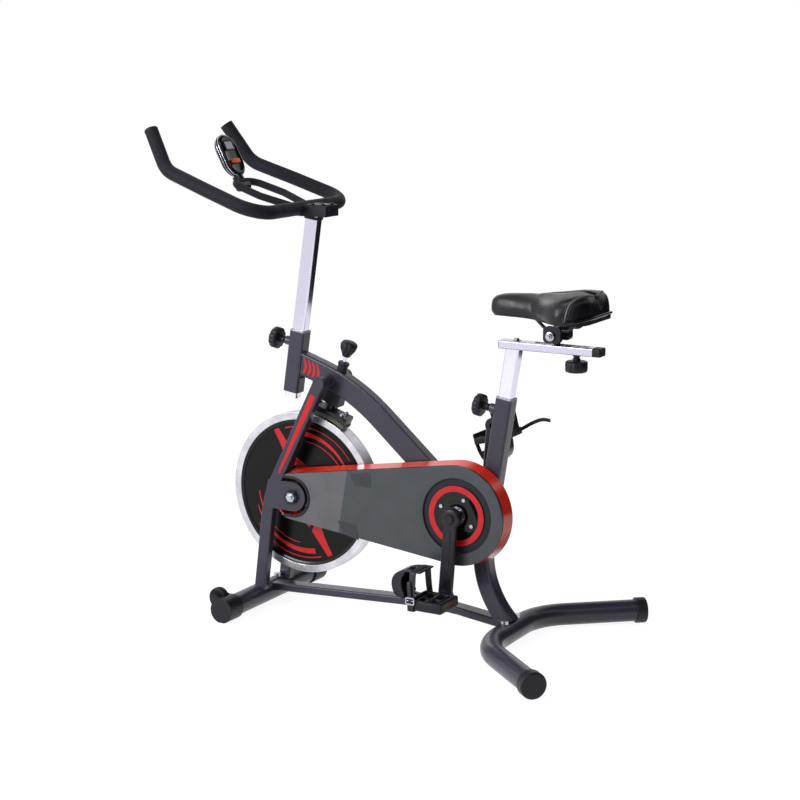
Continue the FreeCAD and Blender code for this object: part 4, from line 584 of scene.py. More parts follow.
def bead_row_tree():
    """Rounded beads along a line: weld ripples, grip ribs and stitches."""
    tree, given, result = tree_with("bead_row", (
        ("Count", "NodeSocketInt", 12), ("Length", "NodeSocketFloat", 0.004),
        ("Width", "NodeSocketFloat", 0.002), ("Height", "NodeSocketFloat", 0.002),
        ("Side", "NodeSocketVector", (0, 0, 1)), ("Unevenness", "NodeSocketFloat", 0.0),
        ("Finish", "NodeSocketMaterial", None)))
    curve = add_node(tree, "GeometryNodeMeshToCurve", {"Mesh": given.outputs["Geometry"]})
    points = add_node(tree, "GeometryNodeResampleCurve", {
        "Curve": curve.outputs[0], "Count": given.outputs["Count"]})
    bead = add_node(tree, "GeometryNodeMeshUVSphere", {
        "Segments": 10, "Rings": 6, "Radius": 1.0})
    size = add_node(tree, "ShaderNodeCombineXYZ", {
        "X": given.outputs["Width"], "Y": given.outputs["Height"], "Z": given.outputs["Length"]})
    tangent = add_node(tree, "GeometryNodeInputTangent")
    turn = add_node(tree, "FunctionNodeAlignRotationToVector", {
        "Vector": tangent.outputs[0]}, axis="Z")
    stand = add_node(tree, "FunctionNodeAlignRotationToVector", {
        "Rotation": turn.outputs[0], "Vector": given.outputs["Side"]}, axis="X", pivot_axis="Z")
    jitter = add_node(tree, "FunctionNodeRandomValue", {"Seed": 7}, data_type="FLOAT")
    low = add_node(tree, "ShaderNodeMath", {0: 1.0, 1: given.outputs["Unevenness"]},
                   operation="SUBTRACT")
    high = add_node(tree, "ShaderNodeMath", {0: 1.0, 1: given.outputs["Unevenness"]},
                    operation="ADD")
    tree.links.new(low.outputs[0], jitter.inputs[2])
    tree.links.new(high.outputs[0], jitter.inputs[3])
    scaled = add_node(tree, "ShaderNodeVectorMath", {0: size.outputs[0]}, operation="SCALE")
    tree.links.new(jitter.outputs[1], scaled.inputs["Scale"])
    row = add_node(tree, "GeometryNodeInstanceOnPoints", {
        "Points": points.outputs[0], "Instance": bead.outputs["Mesh"],
        "Rotation": stand.outputs[0], "Scale": scaled.outputs[0]})
    real = add_node(tree, "GeometryNodeRealizeInstances", {"Geometry": row.outputs[0]})
    coat = add_node(tree, "GeometryNodeSetMaterial", {
        "Geometry": real.outputs[0], "Material": given.outputs["Finish"]})
    tree.links.new(coat.outputs[0], result.inputs[0])
    return tree


def socket_screw_tree():
    """Socket head screws, one on each point, all facing one way."""
    tree, given, result = tree_with("socket_screws", (
        ("Radius", "NodeSocketFloat", 0.004), ("Height", "NodeSocketFloat", 0.003),
        ("Facing", "NodeSocketVector", (0, 0, 1)), ("Finish", "NodeSocketMaterial", None)))
    half = add_node(tree, "ShaderNodeMath", {0: given.outputs["Radius"], 1: 0.52},
                    operation="MULTIPLY")
    head = add_node(tree, "GeometryNodeMeshCone", {
        "Vertices": 24, "Radius Bottom": given.outputs["Radius"],
        "Depth": given.outputs["Height"]})
    crown = add_node(tree, "ShaderNodeMath", {0: given.outputs["Radius"], 1: 0.86},
                     operation="MULTIPLY")
    tree.links.new(crown.outputs[0], head.inputs["Radius Top"])
    key = add_node(tree, "GeometryNodeMeshCylinder", {
        "Vertices": 6, "Radius": half.outputs[0], "Depth": given.outputs["Height"]})
    lift = add_node(tree, "ShaderNodeCombineXYZ", {"Z": given.outputs["Height"]})
    up = add_node(tree, "GeometryNodeTransform", {
        "Geometry": key.outputs["Mesh"], "Translation": lift.outputs[0]})
    cut = add_node(tree, "GeometryNodeMeshBoolean", {
        "Mesh 1": head.outputs["Mesh"]}, operation="DIFFERENCE")
    tree.links.new(up.outputs[0], cut.inputs["Mesh 2"])
    face = add_node(tree, "FunctionNodeAlignRotationToVector", {
        "Vector": given.outputs["Facing"]}, axis="Z")
    row = add_node(tree, "GeometryNodeInstanceOnPoints", {
        "Points": given.outputs["Geometry"], "Instance": cut.outputs[0],
        "Rotation": face.outputs[0]})
    real = add_node(tree, "GeometryNodeRealizeInstances", {"Geometry": row.outputs[0]})
    coat = add_node(tree, "GeometryNodeSetMaterial", {
        "Geometry": real.outputs[0], "Material": given.outputs["Finish"]})
    tree.links.new(coat.outputs[0], result.inputs[0])
    return tree


def grown(name, tree, points, edges, values, body, finish_key):
    """Runs a tree on a line or set of points and keeps its result as one plain mesh piece."""
    mesh = bpy.data.meshes.new(name + "_line")
    mesh.from_pydata([tuple(p) for p in points], edges, [])
    carrier = bpy.data.objects.new(name + "_line", mesh)
    bpy.context.scene.collection.objects.link(carrier)
    modifier = carrier.modifiers.new("grow", "NODES")
    modifier.node_group = tree
    for label, value in values.items():
        modifier[input_id(tree, label)] = value
    modifier[input_id(tree, "Finish")] = finish(finish_key)
    depsgraph = bpy.context.evaluated_depsgraph_get()
    result = bpy.data.meshes.new_from_object(carrier.evaluated_get(depsgraph))
    result.name = name
    bpy.data.objects.remove(carrier)
    bpy.data.meshes.remove(mesh)
    return dress(name, result, body, (finish_key,), angle=50.0)


def line_edges(count, closed=False):
    edges = [(i, i + 1) for i in range(count - 1)]
    return edges + ([(count - 1, 0)] if closed else [])


def beads(name, paths, values, body, finish_key):
    """One piece of bead rows, one row on each (path, closed)."""
    points, edges = [], []
    for path, closed in paths:
        edges += [(a + len(points), b + len(points)) for a, b in line_edges(len(path), closed)]
        points += list(path)
    return grown(name, bpy.data.node_groups["bead_row"], points, edges, values, body,
                 finish_key)


def screws(name, points, radius, height, facing, body, finish_key="zinc"):
    return grown(name, bpy.data.node_groups["socket_screws"], points, [],
                 {"Radius": radius, "Height": height, "Facing": tuple(facing)},
                 body, finish_key)


# ------------------------------------------------------------------ settings

class SpinBikeSizes(bpy.types.PropertyGroup):
    """Sizes of the trim that a user may change before it is built again."""
    knob_ribs: IntProperty(name="Knob ribs", description="Grip ribs round each hand knob",
                           default=10, min=6, max=30)
    piping: FloatProperty(name="Piping", description="Radius of the saddle's piping",
                          default=0.0017, min=0.0005, max=0.005, unit="LENGTH")
    stitch: FloatProperty(name="Stitch length", description="Length of one saddle stitch",
                          default=0.004, min=0.001, max=0.02, unit="LENGTH")
    weld: FloatProperty(name="Weld bead", description="Height of the weld ripples",
                        default=0.0016, min=0.0003, max=0.006, unit="LENGTH")
    film: FloatProperty(name="Film thickness", description="Thickness of the cut vinyl film",
                        default=0.0003, min=0.0001, max=0.001, unit="LENGTH")
    pressure: FloatProperty(name="Padding pressure",
                            description="Pressure that swells the saddle's padding",
                            default=4.0, min=0.0, max=20.0)


class SpinBikeColours(bpy.types.PropertyGroup):
    """Main colours of the finish."""
    paint: FloatVectorProperty(
        name="Frame paint", description="Powder coat on the frame", subtype="COLOR",
        default=colour("#3A384A")[:3], min=0.0, max=1.0)
    vinyl: FloatVectorProperty(
        name="Saddle vinyl", description="Cover of the saddle", subtype="COLOR",
        default=colour("#18171E")[:3], min=0.0, max=1.0)


def sizes():
    return bpy.context.scene.spin_bike_sizes


def mm(x, y, z):
    return Vector((x, y, z)) * MM


# ------------------------------------------------------------------ pieces

def make_finishes(look):
    FINISHES.update({
        "paint": charcoal_powder_coat(look.paint),
        "chrome": chrome_plate(),
        "satin": satin_nickel(),
        "zinc": zinc_plate(),
        "iron": machined_and_enamelled_iron(RIM_INNER),
        "plastic": moulded_plastic("moulded_nylon", "#12111A", "#1B1A25"),
        "gloss": moulded_plastic("polished_abs", "#0C0D10", "#121317", (0.08, 0.16), 6, 0.02),
        "bush": moulded_plastic("natural_nylon", "#B8B8BC", "#C8C8CC", (0.4, 0.5)),
        "steel": moulded_plastic("black_oxide_steel", "#1C1B22", "#25242D", (0.25, 0.4), 3),
        "piping": moulded_plastic("vinyl_piping", "#6E6F74", "#8A8B90", (0.3, 0.4)),
        "thread": moulded_plastic("bonded_thread", "#77787C", "#96979B", (0.6, 0.8)),
        "webbing": moulded_plastic("woven_strap", "#26262B", "#36363D", (0.4, 0.55), 1.6, 0.2),
        "cup": moulded_plastic("toe_cup_nylon", "#1E1F26", "#2A2B34", (0.22, 0.34), 1.2, 0.03),
        "rubber": black_rubber(),
        "foam": nitrile_foam(),
        "felt": pressed_felt(),
        "red": glossy_red_abs(),
        "film": red_enamel_film(),
        "shade": red_enamel_film("charcoal_film", "#2C2E33", "#34363B"),
        "cover": clear_coated_cover(COVER_SPLIT),
        "vinyl": black_vinyl(look.vinyl),
        "enamel": moulded_plastic("black_enamel", "#060609", "#0D0D12", (0.15, 0.25), 6, 0.02),
        "amber": moulded_plastic("amber_reflector", "#5A4632", "#735A3C", (0.12, 0.2), 2.5, 0.1),
        "button": red_enamel_film("orange_red_silicone", "#E8452A", "#F25A3C"),
        "glass": display_glass(),
    })
    for key, nodes in NODE_FINISHES.items():
        for name in nodes:
            item = NODES[name]
            for place in item.material_slots:
                place.material = finish(key)


def pad_section(x, half, low, high, dip):
    """One cross-section of the saddle pad in millimetres, from the bottom middle round."""
    rise = high - low
    side = [(0.0, 0.0), (0.55, 0.0), (0.93, 0.02), (1.0, 0.16), (1.0, 0.4), (0.95, 0.66),
            (0.82, 0.88), (0.6, 0.98), (0.35, 1.0), (0.14, 1.0)]
    points = [(half * a, low + rise * b) for a, b in side]
    points.append((0.0, high - dip))
    mirrored = [(-y, z) for y, z in reversed(points[1:-1])]
    return [mm(x, y, z) for y, z in points + mirrored]


PAD_STATIONS = (
    # x, half width, underside, top, centre dip
    (259.5, 7, 716, 727, 0), (261.5, 15, 711, 734, 0), (266, 20, 707, 740, 0),
    (274, 24, 705, 744.5, 0), (287, 26.5, 704.5, 747, 0), (306, 27.5, 704.5, 748, 0),
    (330, 29, 704.5, 748.5, 0.5), (357.7, 34, 704.5, 749.5, 1), (378, 43, 704.5, 751, 2),
    (396, 58, 704.5, 752.5, 3), (414, 75, 704.5, 754, 4), (430, 87, 704.5, 756, 5),
    (444, 92, 704.5, 758, 6), (458, 90.5, 704.5, 760, 7), (470, 86, 704.5, 761, 7),
    (481, 76, 704.5, 761, 7), (490, 64, 706, 758, 6), (496, 52, 710, 751, 4),
    (499.5, 38, 717, 742, 2))


def make_saddle(size):
    """The padded saddle with its piping, stitches and rear bumper."""
    bm = bmesh.new()
    rings = [smooth_path(pad_section(*s), steps=3, closed=True) for s in PAD_STATIONS]
    dense = []
    for i in range(len(rings[0])):
        dense.append(smooth_path([ring[i] for ring in rings], steps=3))
    loft(bm, [list(ring) for ring in zip(*dense)])
    bmesh.ops.recalc_face_normals(bm, faces=bm.faces)
    mesh = bpy.data.meshes.new("saddle_cover")
    bm.to_mesh(mesh)
    bm.free()
    mesh.materials.append(finish("vinyl"))
    pad = bpy.data.objects.new("saddle_cover", mesh)
    bpy.context.scene.collection.objects.link(pad)
    swell(pad, size.pressure)
    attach(pad, "saddle")
    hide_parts("saddle_pad")
    trim_saddle(pad, size)


# metres: the padding's mesh size, the most that a point may move, and the height that is glued
VOXEL = 0.004
SWELL_CAP = 0.004
GLUED_BELOW = 0.7065
SWELL_STEPS = 20


def swell(item, pressure):
    """Remeshes a pad evenly, inflates it as cloth, and keeps the capped result."""
    scene = bpy.context.scene
    remesh = item.modifiers.new("even", "REMESH")
    remesh.mode = "VOXEL"
    remesh.voxel_size = VOXEL
    keep_result(item)
    rest = [v.co.copy() for v in item.data.vertices]
    group = item.vertex_groups.new(name="glued")
    group.add([i for i, p in enumerate(rest) if p.z < GLUED_BELOW], 1.0, "REPLACE")
    cloth = item.modifiers.new("swell", "CLOTH")
    settings = cloth.settings
    settings.quality = 6
    settings.use_pressure = True
    settings.uniform_pressure_force = pressure
    settings.tension_stiffness = settings.compression_stiffness = 20
    settings.shear_stiffness = 10
    settings.bending_stiffness = 1.0
    settings.vertex_group_mass = "glued"
    settings.effector_weights.gravity = 0.0
    cloth.point_cache.frame_start, cloth.point_cache.frame_end = 1, SWELL_STEPS
    for step in range(1, SWELL_STEPS + 1):
        scene.frame_set(step)
    moved = item.evaluated_get(bpy.context.evaluated_depsgraph_get()).data
    swollen = [v.co.copy() for v in moved.vertices]
    item.modifiers.remove(cloth)
    scene.frame_set(1)
    for vertex, old, new in zip(item.data.vertices, rest, swollen):
        step = new - old
        if step.length > SWELL_CAP:
            step *= SWELL_CAP / step.length
        vertex.co = old + step
    relax = item.modifiers.new("even out", "SMOOTH")
    relax.factor = 0.5
    relax.iterations = 4
    finer = item.modifiers.new("fine", "SUBSURF")
    finer.levels = finer.render_levels = 1
    keep_result(item)
    item.data.polygons.foreach_set("use_smooth", [True] * len(item.data.polygons))
    item.vertex_groups.clear()


def keep_result(item):
    """Bakes an object's modifiers into its own mesh."""
    depsgraph = bpy.context.evaluated_depsgraph_get()
    result = bpy.data.meshes.new_from_object(item.evaluated_get(depsgraph))
    result.name = item.name
    item.modifiers.clear()
    old = item.data
    item.data = result
    bpy.data.meshes.remove(old)


def surface_of(item):
    return BVHTree.FromPolygons(
        [tuple(v.co) for v in item.data.vertices],
        [tuple(p.vertices) for p in item.data.polygons])


def laid_on(tree, points, lift):
    out = []
    for p in points:
        spot, normal, _, _ = tree.find_nearest(p)
        out.append(spot + normal * lift)
    return out


def trim_saddle(pad, size):
    tree = surface_of(pad)
    rear = []
    for side in (-1, 1):
        rear.append([mm(462, side * 91.5, 712), mm(466, side * 89, 735), mm(471, side * 80, 755),
                     mm(478, side * 60, 762), mm(483, side * 40, 762.5), mm(487, side * 20, 760),
                     mm(488, side * 4, 757)])
    bm = bmesh.new()
    for path in rear:
        sweep(bm, laid_on(tree, smooth_path(path, 6), 0.0006), circle(size.piping, 8), side=Z)
    piece("saddle_piping", bm, "saddle", ("piping",))
    rows = []
    for path in rear:
        for shift in (-0.005, 0.005):
            moved = [p + Vector((shift, 0, 0)) for p in smooth_path(path, 6)]
            rows.append((laid_on(tree, moved, 0.0004), False))
    beads("saddle_stitches", rows, {
        "Count": 26, "Length": size.stitch * 0.42, "Width": 0.0004, "Height": 0.0004,
        "Side": (1.0, 0.0, 0.0)}, "saddle", "thread")
    # the stiff bumper that guards the lower rear edge
    half = [(500, 0, 719.5), (499.5, 20, 719), (497.5, 42, 718), (492.5, 60, 716),
            (485, 74, 714), (474, 85, 712), (462, 91.5, 711)]
    rim = [(x, -y, z) for x, y, z in reversed(half[1:])] + half
    bm = bmesh.new()
    sweep(bm, smooth_path([mm(x, y, z) for x, y, z in rim], 5),
          rounded_box(0.013, 0.005, 0.002, 4), side=Z)
    piece("saddle_bumper", bm, "saddle", ("gloss",))


def fluted(radius, lobes, depth, count=112):
    """Outline of a drum with rounded lobes."""
    points = []
    for i in range(count):
        a = 2 * math.pi * i / count
        r = radius - depth * (0.5 - 0.5 * math.cos(lobes * a)) ** 4
        points.append((r * math.cos(a), r * math.sin(a)))
    return points


def knob_drum(bm, matrix, radius, thick, lobes, depth):
    """A fluted hand knob from 0 down to -thick, with a rim and a dished top."""
    shell = fluted(radius, lobes, depth)
    steps = ((-thick, 0.84), (-thick + 0.0012, 0.95), (-thick + 0.003, 1.0), (-0.005, 1.0),
             (-0.0022, 0.965), (-0.0006, 0.89), (0.0, 0.8), (-0.0004, 0.72), (-0.0016, 0.66),
             (-0.0019, 0.3), (-0.0019, 0.02))
    loft(bm, [placed(shell, matrix, h, s) for h, s in steps])


def pin_knob(node, body, direction, radius=0.024, thick=0.018):
    """A pull knob: fluted drum, zinc neck and lock pin, along its joint's axis."""
    low, high = box_of(node)
    away = direction.normalized()
    end = Vector((low.x + radius * abs(away.z), 0, high.z - radius * abs(away.x)))
    foot = Vector((high.x, 0, low.z)) - end
    frame_at = axes_at(end, away)
    reach = abs(foot.dot(away)) - 0.002
    bm = bmesh.new()
    knob_drum(bm, frame_at, radius, thick, sizes().knob_ribs, 0.0014)
    lathe(bm, frame_at, [(0.006, -thick - 0.001), (0.0105, -thick), (0.0105, -thick + 0.002)], 32)
    lathe(bm, frame_at, [(0.0, -thick - 0.0135), (0.0072, -thick - 0.0135),
                         (0.008, -thick - 0.0125), (0.008, -thick - 0.0085),
                         (0.0068, -thick - 0.008), (0.0068, -thick - 0.0065),
                         (0.008, -thick - 0.006), (0.008, -thick - 0.0005)], 32, material=1)
    lathe(bm, frame_at, [(0.0, -reach), (0.0035, -reach), (0.0049, -reach + 0.0014),
                         (0.0049, -thick)], 24, material=1)
    piece(node + "_grip", bm, body, ("plastic", "zinc"), replaces=(node,))


def make_knobs():
    """Both pull knobs and the knob under the slide bar."""
    pin_knob("head_knob", "head_knob", joint_axis("head_pin_pull"))
    pin_knob("seat_knob", "seat_knob", joint_axis("seat_pin_pull"))
    low, high = box_of("slide_knob")
    centre = (low + high) / 2
    frame_at = axes_at(Vector((centre.x, centre.y, low.z)), -Z)
    bm = bmesh.new()
    knob_drum(bm, frame_at, 0.023, 0.023, sizes().knob_ribs, 0.0012)
    lathe(bm, frame_at, [(0.0, -0.0357), (0.0078, -0.0357), (0.0078, -0.0325),
                         (0.0062, -0.032), (0.0062, -0.029), (0.0078, -0.0285),
                         (0.0078, -0.0225)], 32, material=1)
    top = high.z - low.z
    lathe(bm, frame_at, [(0.0, -top), (0.0042, -top), (0.005, -top + 0.001),
                         (0.005, -0.034)], 24, material=1)
    piece("slide_knob_grip", bm, "slide_knob", ("plastic", "zinc"),
          replaces=("slide_knob",))


def make_brake():
    """Brake knob with finger flutes, its collar, and the nuts, lips and felt of the shoe."""
    along = joint_axis("brake_turn")
    frame_at = axes_at(WHEEL, along)
    bm = bmesh.new()
    rings = []
    for height, radius, cut in (
            (0.331, 0.0082, 0.0), (0.332, 0.0092, 0.0), (0.336, 0.0105, 0.0),
            (0.341, 0.0135, 0.0008), (0.347, 0.0168, 0.0016), (0.353, 0.0186, 0.0022),
            (0.358, 0.019, 0.0022), (0.3615, 0.0178, 0.0016), (0.3645, 0.0145, 0.0008),
            (0.3657, 0.009, 0.0), (0.366, 0.0005, 0.0)):
        rings.append(placed(fluted(radius, 8, cut, 96), frame_at, height))
    loft(bm, rings)
    piece("brake_knob_grip", bm, "brake_screw", ("plastic",),
          replaces=("brake_knob",))
    bm = bmesh.new()
    lathe(bm, frame_at, [(0.0115, 0.3105), (0.0128, 0.3115), (0.0128, 0.3155), (0.0118, 0.3165),
                         (0.0062, 0.3168), (0.0045, 0.3172), (0.0045, 0.3105)], 36, closed=True)
    for height in (0.2985, 0.3035):
        lathe(bm, frame_at, [(0.0109, height - 0.0011), (0.0119, height - 0.0004),
                             (0.0119, height + 0.0004), (0.0109, height + 0.0011)], 36,
              closed=True)
    piece("brake_collar", bm, "frame", ("plastic",))
    bm = bmesh.new()
    top = 0.205
    for side in (-1, 1):
        for reach in (-0.036, 0.036):
            spot = frame_at @ Vector((reach, side * 0.0105, top))
            here = axes_at(spot, along)
            prism(bm, here, circle(0.0052, 6), 0.0, 0.0034, 0.0005)
            lathe(bm, here, [(0.0, 0.0034), (0.0026, 0.0034), (0.0026, 0.0056),
                             (0.0019, 0.0062), (0.0, 0.0062)], 16)
    piece("brake_shoe_nuts", bm, "brake_shoe", ("zinc",))
    bm = bmesh.new()
    for side in (-1, 1):
        line = [frame_at @ Vector((x, side * 0.0168, z)) for x, z in (
            (-0.05, 0.1985), (-0.046, 0.203), (0.046, 0.203), (0.05, 0.1985))]
        sweep(bm, line, rounded_box(0.0022, 0.006, 0.0008, 2), side=Y)
    piece("brake_shoe_lips", bm, "brake_shoe", ("steel",))
    make_felt()


def make_felt():
    """The felt strip bent round the rim, in a black holder under the shoe plate."""
    lean = math.atan2(joint_axis("brake_turn").x, joint_axis("brake_turn").z)
    matrix = left_face(WHEEL, 0.0) @ Matrix.Rotation(-lean, 4, "Z")
    bm = bmesh.new()
    arc_band(bm, matrix, 0.1851, 0.1935, 74.6, 105.4, -0.0158, 0.0158, steps=28)
    piece("felt_strip", bm, "brake_shoe", ("felt",), replaces=("felt_pad",),
          bevel=0.0006)
    bm = bmesh.new()
    under = [(0.1932 * math.cos(math.radians(a)), 0.1932 * math.sin(math.radians(a)))
             for a in range(75, 106, 2)]
    prism(bm, matrix, [(0.0512, 0.2012), *under, (-0.0512, 0.2012)][::-1], -0.0162, 0.0162,
          0.0006)
    piece("felt_holder", bm, "brake_shoe", ("steel",), replaces=("felt_pad",))


def tapered_arm(length, big, small, count=24):
    """Outline of a crank arm in its own plane: two rounds joined by straight flanks."""
    lean = math.acos((big - small) / length)
    points = []
    for i in range(count + 1):
        a = lean + (2 * math.pi - 2 * lean) * i / count
        points.append((big * math.cos(a), big * math.sin(a)))
    for i in range(count + 1):
        a = -lean + 2 * lean * i / count
        points.append((length + small * math.cos(a), small * math.sin(a)))
    return points


def make_cranks():
    """Forged arms with a raised boss, a long ridge, a dust cap and the pedal eye."""
    for side, name in ((-1, "left"), (1, "right")):
        eye = joint_spot(f"pedal_{name}_spin")
        along = Vector((eye.x - CRANK.x, 0, eye.z - CRANK.z))
        length = along.length
        along.normalize()
        outward = Y * side
        across = outward.cross(along)
        matrix = Matrix((
            (along.x, across.x, outward.x, CRANK.x), (along.y, across.y, outward.y, 0),
            (along.z, across.z, outward.z, CRANK.z), (0, 0, 0, 1)))
        inner, outer = 0.074, 0.090
        bm = bmesh.new()
        body_line = tapered_arm(length, 0.0148, 0.0152)
        prism(bm, matrix, body_line, inner + 0.001, outer - 0.001, 0.0028)
        rim = [(0.0, inner), (0.021, inner), (0.022, inner + 0.0012), (0.022, outer - 0.006),
               (0.0195, outer - 0.0018), (0.0142, outer), (0.0112, outer), (0.0106, outer - 0.0012),
               (0.0, outer - 0.0012)]
        lathe(bm, matrix, rim, 48)
        eye_at = matrix @ Matrix.Translation((length, 0, 0))
        lathe(bm, eye_at, [(0.0, inner), (0.0158, inner), (0.0168, inner + 0.001),
                           (0.0168, outer - 0.004), (0.015, outer - 0.001), (0.0098, outer),
                           (0.0, outer)], 40)
        ridge = [matrix @ Vector((0.024 + (length - 0.046) * i / 12, 0, outer - 0.0009))
                 for i in range(13)]
        sweep(bm, ridge, rounded_box(0.0022, 0.0105, 0.001, 3), side=across,
              scales=[0.5] + [1.0] * 11 + [0.5])
        piece(f"crank_arm_{name}_forging", bm, "crank", ("steel",),
              replaces=(f"crank_arm_{name}",))
        bm = bmesh.new()
        lathe(bm, matrix, [(0.0, outer - 0.0015), (0.0098, outer - 0.0015), (0.0098, outer + 0.001),
                           (0.0088, outer + 0.0022), (0.0052, outer + 0.003),
                           (0.0049, outer + 0.0015), (0.0, outer + 0.0015)], 36)
        piece(f"crank_cap_{name}", bm, "crank", ("plastic",))


def make_pedals():
    """Pedals with side rails, tread bars, end reflectors, closed toe cups and buckled straps."""
    for side, name, turn in ((-1, "left", 0.0), (1, "right", RIGHT_PEDAL_HANG)):
        eye = joint_spot(f"pedal_{name}_spin")
        matrix = Matrix.Translation(Vector((eye.x, 0, eye.z))) @ Matrix.Rotation(
            math.radians(turn), 4, "Y")
        pedal_block(matrix, side, name, f"pedal_{name}")
        toe_cage(matrix, side, name, f"pedal_{name}")
        toe_strap(matrix, side, name, f"pedal_{name}")


# the right pedal hangs nose down, this many degrees from level
RIGHT_PEDAL_HANG = -105.0
# pedal across Y from the middle plane and half its length, height and middle, in metres
PEDAL_IN, PEDAL_OUT, PEDAL_MID = 0.096, 0.176, 0.136
PEDAL_HALF, PEDAL_DEEP = 0.039, 0.011


def pedal_block(matrix, side, name, body):
    turned = matrix.to_3x3()
    bm = bmesh.new()
    for y in (PEDAL_IN + 0.0045, PEDAL_OUT - 0.0045):
        line = [matrix @ Vector((x, side * y, 0)) for x in (-0.0385, -0.033, 0.033, 0.0385)]
        sweep(bm, line, rounded_box(0.0215, 0.009, 0.003, 3), side=Y, scales=[0.8, 1, 1, 0.8])
    for x in (-PEDAL_HALF + 0.0045, PEDAL_HALF - 0.0045):
        line = [matrix @ Vector((x, side * y, 0)) for y in (PEDAL_IN + 0.003, PEDAL_OUT - 0.003)]
        sweep(bm, line, rounded_box(0.009, 0.022, 0.003, 3), side=turned @ Z)
    for x in (-0.0225, 0.0225):
        line = [matrix @ Vector((x, side * y, 0)) for y in (PEDAL_IN + 0.006, PEDAL_OUT - 0.006)]
        sweep(bm, line, rounded_box(0.005, 0.019, 0.002, 3), side=turned @ Z)
    barrel = [(0.0, PEDAL_IN + 0.001), (0.0108, PEDAL_IN + 0.001), (0.011, PEDAL_IN + 0.003),
              (0.0104, PEDAL_IN + 0.012), (0.0098, PEDAL_MID), (0.0104, PEDAL_OUT - 0.012),
              (0.0108, PEDAL_OUT - 0.004), (0.0104, PEDAL_OUT - 0.001), (0.0, PEDAL_OUT - 0.001)]
    lathe(bm, matrix @ Matrix.Rotation(math.radians(-90 * side), 4, "X"), barrel, 36)
    for x in (-0.012, 0.012):
        line = [matrix @ Vector((x * k, side * PEDAL_MID, 0)) for k in (0.6, 2.8)]
        sweep(bm, line, rounded_box(0.016, 0.006, 0.002, 2), side=Y)
    piece(f"pedal_{name}_body", bm, body, ("plastic",),
          replaces=(f"pedal_{name}",))
    rows = []
    for x in (-PEDAL_HALF + 0.0045, PEDAL_HALF - 0.0045):
        for z in (PEDAL_DEEP, -PEDAL_DEEP):
            rows.append(([matrix @ Vector((x, side * y, z)) for y in (
                PEDAL_IN + 0.009, PEDAL_MID, PEDAL_OUT - 0.009)], False))
    beads(f"pedal_{name}_tread", rows, {
        "Count": 13, "Length": 0.0015, "Width": 0.0016, "Height": 0.0032,
        "Side": tuple(turned @ Z)}, body, "plastic")
    bm = bmesh.new()
    for lift in (1, -1):
        base = matrix @ Vector((PEDAL_HALF * lift, side * PEDAL_MID, 0))
        here = axes_at(base, (turned @ X) * lift)
        prism(bm, here, rounded_box(0.011, 0.054, 0.003, 4), -0.0012, 0.0006, 0.0004)
    piece(f"pedal_{name}_reflectors", bm, body, ("amber",))


# side view of the toe cup in metres: from the pedal round the nose to the top edge
CUP_LINE = ((-0.037, 0.006), (-0.052, 0.007), (-0.067, 0.010), (-0.0775, 0.017),
            (-0.0822, 0.028), (-0.083, 0.040), (-0.0795, 0.0515), (-0.070, 0.0605),
            (-0.056, 0.0655), (-0.039, 0.0675), (-0.022, 0.068))


def toe_cage(matrix, side, name, body):
    """A toe cup with a closed round nose and cheeks, and two bands back over the foot."""
    bm = bmesh.new()
    nose = smooth_path([Vector((x, side * PEDAL_MID, z)) for x, z in CUP_LINE[1:9]], 5)
    path = [matrix @ p for p in nose]
    sweep(bm, path, rounded_box(0.0036, 0.05, 0.0017, 3), side=Y)
    rim = smooth_path([Vector((x, 0, z)) for x, z in CUP_LINE[2:9]], 5)
    chord = smooth_path([Vector((x, 0, z)) for x, z in (
        (-0.054, 0.0625), (-0.0605, 0.053), (-0.0635, 0.041), (-0.0615, 0.027),
        (-0.0545, 0.0125))], 4)
    outline = [(p.x, p.z) for p in rim + chord]
    for lane in (-1, 1):
        here = matrix @ Matrix.Translation((0, side * PEDAL_MID + lane * 0.0235, 0))
        here = here @ Matrix(((1, 0, 0, 0), (0, 0, lane, 0), (0, 1, 0, 0), (0, 0, 0, 1)))
        prism(bm, here, outline, -0.0015, 0.0026, 0.0014)
        upper = [Vector((x, side * PEDAL_MID + lane * spread, z)) for (x, z), spread in zip(
            CUP_LINE[7:], (0.0185, 0.02, 0.0215, 0.0225))]
        sweep(bm, [matrix @ p for p in smooth_path(upper, 5)],
              rounded_box(0.0034, 0.013, 0.0014, 3), side=Y)
        lower = [Vector((x, side * PEDAL_MID + lane * 0.021, z)) for x, z in CUP_LINE[:4]]
        sweep(bm, [matrix @ p for p in smooth_path(lower, 5)],
              rounded_box(0.0034, 0.014, 0.0014, 3), side=Y)
    x, z = CUP_LINE[-1]
    bridge = [matrix @ Vector((x + 0.002, side * PEDAL_MID + y, z)) for y in (-0.029, 0.029)]
    sweep(bm, bridge, rounded_box(0.0034, 0.012, 0.0014, 3), side=matrix.to_3x3() @ X)
    piece(f"toe_cage_{name}_cup", bm, body, ("cup",),
          replaces=(f"toe_cage_{name}",), bevel=0.0005)


